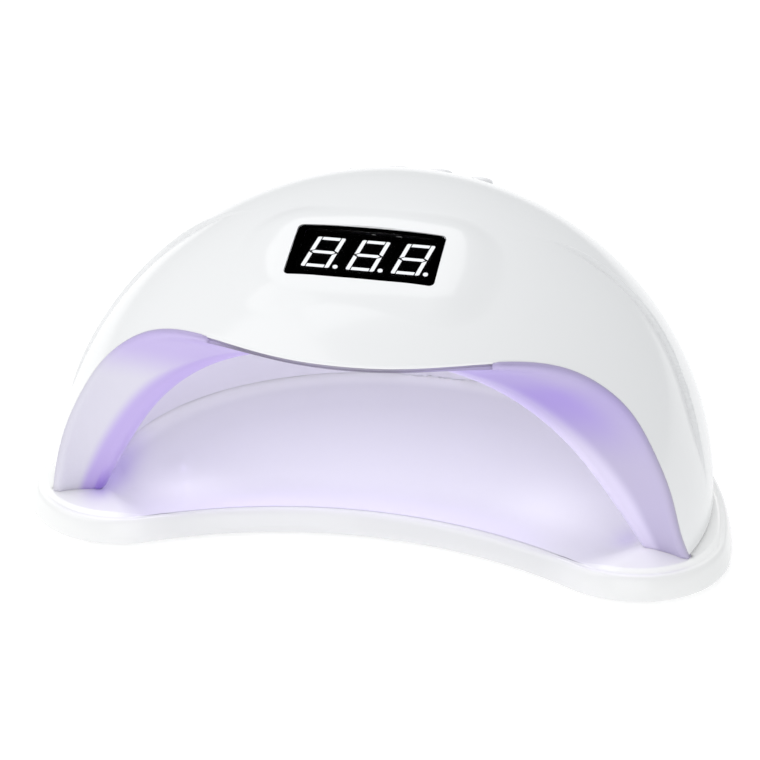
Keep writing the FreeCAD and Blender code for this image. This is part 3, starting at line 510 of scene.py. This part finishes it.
def liner_lines(count):
    """The mouth's edge, its outward and normal directions, and the ridge's crest."""
    outline = cubic(both_sides(np.array(MOUTH, float)), count)
    ridge = cubic(both_sides(np.array(RIDGE, float)), count)
    outline[:, 1] = np.maximum(outline[:, 1], FOOT_GAP)
    edge = dome_front(outline[:, 0], outline[:, 1])
    n = dome_normal(edge)
    outward = unit(np.cross(n, unit(np.gradient(edge, axis=0))))
    if outward[count // 2, 2] < 0:
        outward = -outward
    ridge_z = np.maximum(ridge[:, 1], FOOT_GAP)
    crest = np.stack([ridge[:, 0], RIDGE_Y - RIDGE_SLOPE * ridge[:, 1], LEVEL + ridge_z], 1)
    return edge, outward, n, crest


def liner_wall(crest, first_y, y):
    """A line of the vault's wall at a depth; it starts at the ridge and widens behind it."""
    alpha = np.arctan2(crest[:, 0] / HALF, (crest[:, 2] - LEVEL) / RISE)
    wide = vault_at(alpha, y)
    gap = WALL_GAP + (FOOT_GAP - WALL_GAP) * (1 - smoothstep(y / 25))
    wide[:, 2] = np.maximum(wide[:, 2], LEVEL + gap)
    near = crest + np.array([0, 1.0, 0]) * (y - crest[:, 1])[:, None]
    share = smoothstep((y - first_y) / (11.0 - first_y))[:, None]
    return near * (1 - share) + wide * share


def build_liner():
    """The liner: a seam bead, the flared band up to the ridge, and the vault behind it."""
    count, steps, seam = 301, np.linspace(0, 1, 22), -0.1
    tuck, depth, sag, swell, ridge_width = 0.5, 0.95, 2.4, 0.4, 2.4
    edge, outward, n, crest = liner_lines(count)
    hang = 1 - 0.8 * smoothstep((60 - np.abs(edge[:, 0])) / 32)[:, None]
    start = edge - outward * hang * tuck - n * depth
    normal = unit(np.cross(np.gradient(start, axis=0), crest - start))
    normal *= np.sign(normal @ np.array([0, 1.0, 1.0]))[:, None]
    dip = normal * sag
    dip[:, 2] *= smoothstep((edge[:, 2] - LEVEL) / 8)
    middle = (start + crest) / 2 + dip
    first_y = crest[:, 1] + ridge_width
    inner = liner_wall(crest, first_y, first_y)

    lines = [(edge - outward * hang * aside - n * below, seam)
             for aside, below in ((0.25, 3.4), (0.27, 1.35), (0.34, 1.08))]
    lines += [(bezier(start, middle, crest, t), t) for t in steps[:-2]]
    bend = steps[-3]
    brink = bezier(start, middle, crest, bend)
    bulge = crest + unit(crest - (brink + inner) / 2) * swell
    lines += [(bezier(brink, bulge, inner, t), bend + (1 - bend) * t)
              for t in np.linspace(0, 1, 13)[1:]]
    band_lines = len(lines)
    depths = np.sin(np.linspace(0, math.pi / 2, 90))[1:-1]
    walls = [first_y + (DOME_Y + BACK - first_y) * f for f in depths]
    lines += [(liner_wall(crest, first_y, y), 1.0) for y in walls]

    rear = np.array([[0, DOME_Y + BACK, LEVEL + WALL_GAP]])
    verts = np.concatenate([points for points, _ in lines] + [rear])
    faces = ring_faces(len(lines), count, closed=False)
    end, base = len(verts) - 1, (len(lines) - 1) * count
    faces += [(end, base + i, base + i + 1) for i in range(count - 1)]
    mesh = bpy.data.meshes.new("liner")
    mesh.from_pydata(row(verts).tolist(), [], faces)
    share = np.concatenate([np.full(count, t) for _, t in lines] + [[1.0]])
    far = [[200.0]]                     # the vault's rearmost point
    behind = np.concatenate([np.zeros(count * band_lines)] + [y - first_y for y in walls] + far)
    # painted violet light and shade, per vertex
    paint(mesh, liner_painted_light_and_shade(verts[:, 0], verts[:, 2] - LEVEL, share, behind))
    mesh.shade_smooth()
    obj = bpy.data.objects.new("inner_shell", mesh)
    bpy.context.scene.collection.objects.link(obj)
    solid = obj.modifiers.new("wall", "SOLIDIFY")
    solid.thickness = LINER_WALL * 0.001
    solid.offset = -1.0
    return obj


# ------------------------------------------------------------------ tray

def bay_distance(x, y):
    """How far behind the concave front edge a place is."""
    return np.hypot(x, y - BAY_Y) - BAY_R


def vault_ring(x, y, grow=0.0):
    """1 under the foot of the vault's rear wall, 0 at the middle of the chamber."""
    return np.sqrt((x / (HALF + grow)) ** 2 + ((y - DOME_Y) / (BACK + grow)) ** 2)


def rim_rise(x, y):
    """The rim's rise over its height along the bay: towards the lobes and at the rear."""
    return RIM_RISE * smoothstep((np.abs(x) - 48) / 18) + RIM_RISE * (y > 40) * (np.abs(x) <= 48)


def tray_outline(inset):
    """Plan of the tray at an inset: rear ellipse, left lobe, bay, right lobe."""
    spread = math.asin(LOBE_X / (LOBE_R + BAY_R))
    e = np.linspace(0, math.pi, 220, endpoint=False)
    rear = np.stack([(LOBE_X + LOBE_R - inset) * np.cos(e),
                     LOBE_Y + (TRAY_BACK - inset) * np.sin(e)], 1)
    a = np.linspace(math.pi, math.pi + (math.pi / 2 + spread), 90, endpoint=False)
    left = np.stack([-LOBE_X + (LOBE_R - inset) * np.cos(a),
                     LOBE_Y + (LOBE_R - inset) * np.sin(a)], 1)
    c = np.linspace(-spread, spread, 180)
    bay = np.stack([(BAY_R + inset) * np.sin(c), BAY_Y + (BAY_R + inset) * np.cos(c)], 1)
    right = left[:0:-1] * np.array([-1, 1])
    return np.concatenate([rear, left, bay, right])


def floor_share(x, y):
    """1 over the sunk floor, 0 on the plateau round it."""
    side = np.abs(x) - (82.0 - 18.0 * smoothstep((16.0 - y) / 34.0))
    ring = (vault_ring(x, y, 0.6) - 1) * 80.0
    blend = smoothstep((y - 8.0) / 22.0)
    width = 16.0 - 15.0 * blend
    return 1 - smoothstep((side * (1 - blend) + ring * blend) / width + 0.5)


def tray_height(p, inset):
    """The tray's upper face: rim, plateau, sunk floor with its cove, and the groove."""
    x, y = p[:, 0], p[:, 1]
    bay = bay_distance(x, y)
    share = floor_share(x, y)
    rim = TRAY_RIM + rim_rise(x, y)
    plateau = rim + (LEVEL - rim) * smoothstep((inset - 3.5) / 1.5)
    floor = TRAY_RIM - (TRAY_RIM - TRAY_FLOOR) * smoothstep((bay - 4.1) / 23.0)
    cove = np.clip((vault_ring(x, y) - 0.8) / 0.2, 0, 1) * smoothstep((y - 4.0) / 24.0)
    floor = floor + (LEVEL - floor) * (1 - np.sqrt(1 - cove ** 2))
    groove = np.exp(-((bay - GROOVE) / 0.26) ** 4) * smoothstep((60 - np.abs(x)) / 6)
    return share * floor + (1 - share) * plateau - groove * share


def foot_line(x, y):
    """How far a place is from the line under the band's foot, on either side."""
    inner = np.array([RIDGE[-1][0], RIDGE_Y])
    span = dome_front(np.array(MOUTH[-1][0]), np.array(FOOT_GAP))[:2] - inner
    q = np.stack([np.abs(x), y], 1) - inner
    t = np.clip(q @ span / (span @ span), 0, 1)
    return np.linalg.norm(q - t[:, None] * span, axis=1)


def tray_white_with_painted_light_and_shade(p):
    """The tray's white with painted light and shade: painted shade on the faces below the top,
    painted lilac light on the floor with painted pools of light, painted violet shade by the
    feet, and painted shade in the groove and the gaps.
    """
    x, y, z = p.T
    bay, upper = bay_distance(x, y), z > 4.6
    floor = floor_share(x, y) * (bay > GROOVE) * upper
    # painted shade on the faces below the top, lighter towards the lobes
    rim = smoothstep((8.25 - z) / 0.4) * (1 - floor)
    rim = rim * (1 - 0.35 * smoothstep((np.abs(x) - 50) / 20))
    color = shade((0.985, 0.985, 0.975), (0.735, 0.74, 0.735), rim)
    # the floor's painted lilac light, with painted pools of light and a painted light arc by the
    # cove
    bright = spot(x, y, (-60, 12), (16, 13))
    bright = np.maximum(bright, 0.6 * spot(x, y, (52, 22), (15, 20)))
    bright = np.maximum(bright, 0.5 * smoothstep((vault_ring(x, y) - 0.93) / 0.05))
    color = shade(color, shade((0.72, 0.71, 0.765), (0.965, 0.955, 0.985), bright), floor)
    # painted violet light on the slope behind the bay's crest
    strip = np.exp(-((bay - 4) / 9) ** 2) * np.exp(-((x + 38) / 26) ** 2)
    strip = np.maximum(strip, 0.55 * np.exp(-((bay - 4) / 13) ** 2) * smoothstep((62 - x) / 20))
    color = shade(color, (0.84, 0.78, 1.0), 0.75 * strip * floor)
    # painted violet shade by the feet and along the left edge of the floor
    flank = np.exp(-((x + 82) / 5) ** 2) * (1 - smoothstep((y - 16) / 38))
    violet = np.maximum(0.7 * spot(x, y, (-81, 7), (3.6, 9)),
                        0.75 * flank * smoothstep((y - 1) / 4))
    violet = np.maximum(violet, 0.3 * spot(x, y, (76, 12), (4.5, 7)))
    color = shade(color, (0.42, 0.3, 0.78), violet * upper)
    # painted shade in the groove, and a painted shadow along the line under each foot's gap
    groove = np.exp(-((bay - GROOVE) / 0.24) ** 4) * smoothstep((66 - np.abs(x)) / 6)
    gap = 0.85 * np.exp(-(foot_line(x, y) / 0.8) ** 2)
    return shade(color, SHADOW, np.maximum(groove * (z > 5.0), gap * (z > 8)))


def build_tray():
    """The tray as rings from the middle of its underside, over the rim, to its middle."""
    face = [(0.45, 1.2), (0.2, 1.3), (0.06, 1.55), (0.04, 2.0), (0.35, 3.2), (0.7, 4.4),
            (1.05, 5.5), (1.35, 6.3), (1.65, 6.95), (2.05, 7.4), (2.5, 7.68)]
    underside = [(0.9, TRAY_BASE), (2.6, TRAY_BASE), (2.7, 4.6), (5.6, None), (9, None),
                 (16, None), (26, None)]     # (inset, height); None lies under the upper face
    insets = np.concatenate([np.arange(2.95, 6.0, 0.14), np.arange(6.2, 26.1, 0.55)])
    centre, last_inset, seat = np.array([0, 52.0]), 26.0, 7.3
    rim = tray_outline(insets[-1])
    count = len(rim)

    over = []
    for inset, z in face:
        p = tray_outline(inset)
        lift = rim_rise(p[:, 0], p[:, 1]) * (z - TRAY_BASE) / (TRAY_RIM - TRAY_BASE)
        over.append(np.column_stack([p, z + lift]))
    for inset in insets:
        p = tray_outline(inset)
        over.append(np.column_stack([p, tray_height(p, inset)]))
    for t in np.linspace(1, 0, 44)[1:-1]:
        p = centre + (rim - centre) * t
        over.append(np.column_stack([p, tray_height(p, last_inset)]))
    under = []
    for inset, fixed in underside:
        p = tray_outline(inset)
        z = np.full(count, fixed) if fixed \
            else np.minimum(tray_height(p, inset) - TRAY_SKIN, seat)
        under.append(np.column_stack([p, z]))
    for t in (0.6, 0.3):
        p = centre + (rim - centre) * t
        under.append(np.column_stack([p, tray_height(p, last_inset) - TRAY_SKIN]))

    rings = under[::-1] + over
    ends = [[*centre, TRAY_FLOOR - TRAY_SKIN], [*centre, TRAY_FLOOR]]
    verts = np.concatenate(rings + [np.array(ends)])
    faces = ring_faces(len(rings), count)
    faces += end_fans(len(rings), count, len(verts) - 2, len(verts) - 1)
    obj = make_object("tray_moulding", row(verts), faces)
    # the tray's white with its painted light and shade, per vertex
    paint(obj.data, tray_white_with_painted_light_and_shade(verts))
    sharpen(obj, 60)
    return obj


# ------------------------------------------------------------------ display window

def window_outline():
    """The pane's outline: a rectangle with round corners, finely divided."""
    half_u, half_v = WINDOW_HALF
    flat_u, flat_v = half_u - WINDOW_CORNER, half_v - WINDOW_CORNER
    quarter = np.linspace(0, math.pi / 2, 9)
    arc = np.stack([np.cos(quarter), np.sin(quarter)], 1) * WINDOW_CORNER + [flat_u, flat_v]
    top = np.linspace([flat_u, half_v], [-flat_u, half_v], 40)[1:-1]
    side = np.linspace([-half_u, flat_v], [-half_u, -flat_v], 20)[1:-1]
    outline = np.concatenate([arc, top, arc[::-1] * [-1, 1], side])
    return np.concatenate([outline, -outline])


def build_window():
    """Bowed smoked window; its tint is how clear it is, with a black printed border."""
    outline = window_outline()
    steps = [1.0, 0.985, 0.93, 0.905, 0.9, 0.8, 0.65, 0.5, 0.3, 0.1]
    clear, border, bevel = 0.32, 0.903, 0.06
    rings, tint = [], []
    for thick, order in ((PANE, steps[::-1]), (0.0, steps)):
        for step in order:
            p = outline * step
            z = window_bow(p[:, 0], p[:, 1]) - thick
            if step == 1.0 and thick == 0:
                z = z - bevel
            rings.append(np.column_stack([p, z]))
            tint.append(np.full(len(outline), 0.0 if step > border else clear))
    verts = np.concatenate(rings + [np.array([[0, 0, -PANE], [0, 0, 0.0]])])
    faces = ring_faces(len(rings), len(outline))
    faces += end_fans(len(rings), len(outline), len(verts) - 2, len(verts) - 1)
    obj = make_object("window_pane", row(on_window(verts)), faces)
    paint(obj.data, np.repeat(np.concatenate(tint + [[clear, clear]])[:, None], 3, 1))
    sharpen(obj, 40)
    return obj


def prism(outline, low, high):
    """Vertices and faces of a closed prism over a convex outline."""
    x, y = outline.T
    if np.sum(x * np.roll(y, -1) - np.roll(x, -1) * y) < 0:
        outline = outline[::-1]
    count = len(outline)
    verts = np.concatenate([np.column_stack([outline, np.full(count, z)]) for z in (low, high)])
    faces = [tuple(range(count - 1, -1, -1)), tuple(range(count, 2 * count))]
    faces += [(i, (i + 1) % count, (i + 1) % count + count, i + count) for i in range(count)]
    return verts, faces


def digit_bars():
    """Outlines of one upright digit's seven bars."""
    half_w, half_h, bar, gap, cut = 3.95, 6.1, 1.1, 0.4, 0.3
    inner = half_w - bar
    upright = np.array([(half_w, cut), (half_w, half_h - cut), (half_w - cut, half_h),
                        (inner, half_h), (inner, 0.95)])
    end, thick = inner - gap, 1.0
    level = np.array([(end, half_h), (-end, half_h), (-end, half_h - thick),
                      (end, half_h - thick)])
    tip, neck, half = half_w - 0.65, inner - 0.2, 0.48
    middle = np.array([(tip, 0), (neck, half), (-neck, half), (-tip, 0), (-neck, -half),
                       (neck, -half)])
    bars = [upright * (sx, sy) for sx in (-1, 1) for sy in (-1, 1)]
    return bars + [level, level * (1, -1), middle]


def build_digits():
    """Three slanted digits of seven separate bars, each with its decimal point."""
    lean, place = math.tan(math.radians(11.3)), np.array([0.6, 0.7])
    turn = np.linspace(0, 2 * math.pi, 24, endpoint=False)
    dot = 0.7 * np.stack([np.cos(turn), np.sin(turn)], 1) + (4.5, -5.5)
    outlines = [bar + np.outer(bar[:, 1], (lean, 0)) for bar in digit_bars()] + [dot]
    verts, faces = joined([prism(outline + place + (DIGIT_PITCH * digit, 0), *DIGIT_LEVELS)
                           for digit in (-1, 0, 1) for outline in outlines])
    return make_object("digit_bars", row(on_window(verts)), faces, smooth=False)


# ------------------------------------------------------------------ materials

def material(name, color, rough, metallic=0.0, coat=0.0, vary=0.03, scale=60.0, bump=0.02,
             bump_scale=900.0, emission=None, strength=0.0):
    """Moulded or plated finish with slight mottling, roughness variation and fine relief.

    Returns the material, its shader node and the node that mixes its colour.
    """
    mat = bpy.data.materials.new(name)
    mat.use_nodes = True
    nodes, links = mat.node_tree.nodes, mat.node_tree.links
    shader = nodes["Principled BSDF"]
    shader.inputs["Metallic"].default_value = metallic
    shader.inputs["Coat Weight"].default_value = coat
    shader.inputs["Coat Roughness"].default_value = 0.08
    where = nodes.new("ShaderNodeTexCoord")
    mottle = nodes.new("ShaderNodeTexNoise")
    mottle.inputs["Scale"].default_value = scale
    mottle.inputs["Detail"].default_value = 4
    links.new(where.outputs["Object"], mottle.inputs["Vector"])
    span = nodes.new("ShaderNodeMapRange")
    span.inputs["To Min"].default_value = max(rough * 0.8, 0.02)
    span.inputs["To Max"].default_value = min(rough * 1.25, 1.0)
    links.new(mottle.outputs["Fac"], span.inputs["Value"])
    links.new(span.outputs["Result"], shader.inputs["Roughness"])
    blend = nodes.new("ShaderNodeMix")
    blend.data_type = "RGBA"
    dark = [c * (1 - vary) for c in color[:3]] + [1]
    light = [min(c * (1 + vary), 1) for c in color[:3]] + [1]
    blend.inputs["A"].default_value = dark
    blend.inputs["B"].default_value = light
    links.new(mottle.outputs["Fac"], blend.inputs["Factor"])
    links.new(blend.outputs["Result"], shader.inputs["Base Color"])
    grain = nodes.new("ShaderNodeTexNoise")
    grain.inputs["Scale"].default_value = bump_scale
    links.new(where.outputs["Object"], grain.inputs["Vector"])
    relief = nodes.new("ShaderNodeBump")
    relief.inputs["Strength"].default_value = bump
    relief.inputs["Distance"].default_value = 0.0002
    links.new(grain.outputs["Fac"], relief.inputs["Height"])
    links.new(relief.outputs["Normal"], shader.inputs["Normal"])
    if emission:
        shader.inputs["Emission Color"].default_value = list(emission) + [1]
        shader.inputs["Emission Strength"].default_value = strength
    return mat, shader, blend


def shell_white():
    """The dome's glossy white."""
    return material("shell_gloss", (0.83, 0.835, 0.84), 0.16, coat=0.24, vary=0.006, scale=25,
                    bump=0.012, bump_scale=700)[0]


def tinted(name, rough, coat, glow=0.0):
    """Glossy white plastic whose colour follows the mesh's tint attribute, which holds painted
    light and shade; glow adds an even painted glow.
    """
    mat, shader, blend = material(name, (0.97, 0.97, 0.97), rough, coat=coat, vary=0.01,
                                  scale=30, bump=0.012, bump_scale=700,
                                  emission=(1, 1, 1), strength=glow)
    nodes, links = mat.node_tree.nodes, mat.node_tree.links
    tint = nodes.new("ShaderNodeAttribute")
    tint.attribute_name = "tint"
    both = nodes.new("ShaderNodeMix")
    both.data_type = "RGBA"
    both.blend_type = "MULTIPLY"
    both.inputs["Factor"].default_value = 0.4
    links.new(tint.outputs["Color"], both.inputs["A"])
    links.new(blend.outputs["Result"], both.inputs["B"])
    links.new(both.outputs["Result"], shader.inputs["Base Color"])
    return mat


def window_material():
    """Smoked acrylic: mostly see-through for the lit bars, with a gloss on top."""
    mat = bpy.data.materials.new("smoked_acrylic")
    mat.use_nodes = True
    nodes, links = mat.node_tree.nodes, mat.node_tree.links
    nodes.remove(nodes["Principled BSDF"])
    out = nodes["Material Output"]
    clear = nodes.new("ShaderNodeBsdfTransparent")
    tint = nodes.new("ShaderNodeAttribute")
    tint.attribute_name = "tint"
    links.new(tint.outputs["Color"], clear.inputs["Color"])
    gloss = nodes.new("ShaderNodeBsdfGlossy")
    gloss.inputs["Color"].default_value = (0.12, 0.12, 0.12, 1)
    where = nodes.new("ShaderNodeTexCoord")
    haze = nodes.new("ShaderNodeTexNoise")
    haze.inputs["Scale"].default_value = 80
    links.new(where.outputs["Object"], haze.inputs["Vector"])
    span = nodes.new("ShaderNodeMapRange")
    span.inputs["To Min"].default_value = 0.04
    span.inputs["To Max"].default_value = 0.09
    links.new(haze.outputs["Fac"], span.inputs["Value"])
    links.new(span.outputs["Result"], gloss.inputs["Roughness"])
    fresnel = nodes.new("ShaderNodeFresnel")
    fresnel.inputs["IOR"].default_value = 1.04
    mix = nodes.new("ShaderNodeMixShader")
    links.new(fresnel.outputs["Fac"], mix.inputs["Fac"])
    links.new(clear.outputs["BSDF"], mix.inputs[1])
    links.new(gloss.outputs["BSDF"], mix.inputs[2])
    links.new(mix.outputs["Shader"], out.inputs["Surface"])
    return mat


FINISHES = {
    "white_ring": dict(color=(0.78, 0.78, 0.8), rough=0.45, bump=0.08),
    "white_button": dict(color=(0.88, 0.88, 0.89), rough=0.2, coat=0.3, vary=0.006),
    "display_case": dict(color=(0.001, 0.001, 0.001), rough=0.9, bump=0.1),
    "display_light": dict(color=(0.9, 0.9, 0.92), rough=0.5, emission=(0.95, 0.97, 1.0),
                          strength=10.0),
    "board_green": dict(color=(0.03, 0.16, 0.07), rough=0.35, vary=0.25, scale=400, bump=0.15),
    "strip_white": dict(color=(0.8, 0.81, 0.8), rough=0.4, vary=0.05, scale=300),
    "switch_black": dict(color=(0.02, 0.02, 0.02), rough=0.4, bump=0.1),
    "chip_black": dict(color=(0.025, 0.025, 0.028), rough=0.55, bump=0.2),
    "can_aluminium": dict(color=(0.75, 0.76, 0.78), rough=0.3, metallic=1.0, vary=0.06),
    "coil_ferrite": dict(color=(0.04, 0.04, 0.045), rough=0.6, vary=0.2, bump=0.3),
    "led_yellow": dict(color=(0.8, 0.7, 0.4), rough=0.5, emission=(0.5, 0.35, 1.0),
                       strength=2.0),
    "lens_clear": dict(color=(0.85, 0.82, 0.95), rough=0.1, emission=(0.68, 0.56, 1.0),
                       strength=1.5),
    "sensor_dark": dict(color=(0.03, 0.008, 0.02), rough=0.12, coat=0.4),
    "jack_black": dict(color=(0.015, 0.015, 0.017), rough=0.42, bump=0.3),
    "plated_metal": dict(color=(0.78, 0.77, 0.76), rough=0.18, metallic=1.0, vary=0.05),
    "magnet_nickel": dict(color=(0.7, 0.7, 0.69), rough=0.22, metallic=1.0, vary=0.06),
    "screw_steel": dict(color=(0.55, 0.55, 0.57), rough=0.32, metallic=1.0, vary=0.08),
    "post_nylon": dict(color=(0.8, 0.78, 0.73), rough=0.45, bump=0.05),
    "foot_rubber": dict(color=(0.03, 0.03, 0.03), rough=0.8, bump=0.5, vary=0.15),
    "lead_sleeve": dict(color=(0.35, 0.015, 0.012), rough=0.4, vary=0.1),
    "lead_sleeve_grey": dict(color=(0.18, 0.18, 0.19), rough=0.4, vary=0.1),
}


def dress(obj, mat):
    """Give an object one material."""
    obj.data.materials.clear()
    obj.data.materials.append(mat)


def finish_cad():
    """Every CAD node that stays gets the procedural finish of its own slot."""
    made = {}
    for part in frame["record"]["subparts"]:
        node, slot = part["node"], part["material_slot"]
        if slot not in made and slot in FINISHES:
            made[slot] = material(slot + "_finish", **FINISHES[slot])[0]
        obj = frame["nodes"][node]
        if slot in made:
            for place in obj.material_slots:
                place.material = made[slot]


# ------------------------------------------------------------------ lights, floor and camera

def area(name, at, aim, size, power, color=(1, 1, 1)):
    """A square soft light that the camera doesn't see."""
    data = bpy.data.lights.new(name, "AREA")
    data.energy, data.color, data.size = power, color, size
    obj = bpy.data.objects.new(name, data)
    obj.location = at
    obj.rotation_euler = (Vector(aim) - Vector(at)).to_track_quat("-Z", "Y").to_euler()
    obj.visible_camera = False
    bpy.context.scene.collection.objects.link(obj)


def chamber_glow():
    """Small lights in the chamber for the lamps, which ride with the head."""
    spots = [((-0.036, -0.018, 0.05), 0.0116), ((0.0, -0.016, 0.056), 0.0116),
             ((0.036, -0.018, 0.05), 0.0116), ((0.0, -0.075, 0.042), 0.006)]
    for i, (place, power) in enumerate(spots, 1):
        data = bpy.data.lights.new(f"glow_{i}", "POINT")
        data.energy, data.color = power, (0.95, 0.95, 1.0)
        data.shadow_soft_size = 0.012
        glow = bpy.data.objects.new(f"glow_{i}", data)
        glow.location = place
        glow.visible_camera = False
        glow.visible_glossy = False
        bpy.context.scene.collection.objects.link(glow)
        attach(glow, "lamp_head")


def white_floor():
    """A floor bright enough to melt into the background."""
    reach = 3
    verts = [(-reach, -reach, 0), (reach, -reach, 0), (reach, reach, 0), (-reach, reach, 0)]
    ground = make_object("floor", verts, [(0, 1, 2, 3)])
    dress(ground, material("floor_white", (0.62, 0.62, 0.62), 0.85, vary=0.002, scale=3,
                           bump=0.01, emission=(1, 1, 1), strength=0.5)[0])


def camera():
    """A long lens from the front right and above."""
    cam = bpy.data.cameras.new("view")
    cam.lens, cam.sensor_width = 111.05, 36
    cam.clip_start, cam.clip_end = 0.01, 20
    eye = bpy.data.objects.new("view", cam)
    azimuth, rise, distance = math.radians(12.265), math.radians(26.031), 0.6809
    aim = Vector((0.0007, -0.0272, 0.0464))
    back = Vector((math.sin(azimuth) * math.cos(rise), -math.cos(azimuth) * math.cos(rise),
                   math.sin(rise)))
    eye.location = aim + back * distance
    eye.rotation_euler = (-back).to_track_quat("-Z", "Y").to_euler()
    bpy.context.scene.collection.objects.link(eye)
    bpy.context.scene.camera = eye


def studio():
    """World, lights, floor and camera."""
    world = bpy.data.worlds.new("studio")
    bpy.context.scene.world = world
    world.use_nodes = True
    sky = world.node_tree.nodes["Background"]
    sky.inputs["Color"].default_value = (0.97, 0.985, 1.0, 1)
    sky.inputs["Strength"].default_value = 0.68
    area("key", (-0.75, -0.55, 0.9), aim=(0, 0, 0.04), size=1.2, power=4.25,
         color=(1.0, 0.995, 0.98))
    area("top", (-0.15, 0.35, 1.0), aim=(0, -0.02, 0.05), size=0.9, power=2.8)
    area("fill", (0.25, -1.3, 0.28), aim=(0, 0, 0.04), size=0.9, power=2.2)
    chamber_glow()
    white_floor()
    camera()
    bpy.context.scene.view_settings.view_transform = "Standard"


# ------------------------------------------------------------------ put together

finish_cad()

dome = build_housing()
dress(dome, shell_white())
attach(dome, "lamp_head")
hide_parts("outer_housing")

liner = build_liner()
# the liner is white plastic; its colour is painted violet light and shade
dress(liner, tinted("liner_painted_violet_light", 0.3, 0.12))
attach(liner, "lamp_head")
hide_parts("inner_liner")

tray = build_tray()
# the tray's glow is a painted glow, though the tray is no lamp
dress(tray, tinted("tray_gloss", 0.16, 0.3, glow=0.05))
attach(tray, "base_tray")
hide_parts("tray_top")

pane = build_window()
dress(pane, window_material())
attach(pane, "lamp_head")
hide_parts("display_window")

digits = build_digits()
dress(digits, bpy.data.materials["display_light_finish"])
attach(digits, "lamp_head")
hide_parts("lit_segments")

studio()
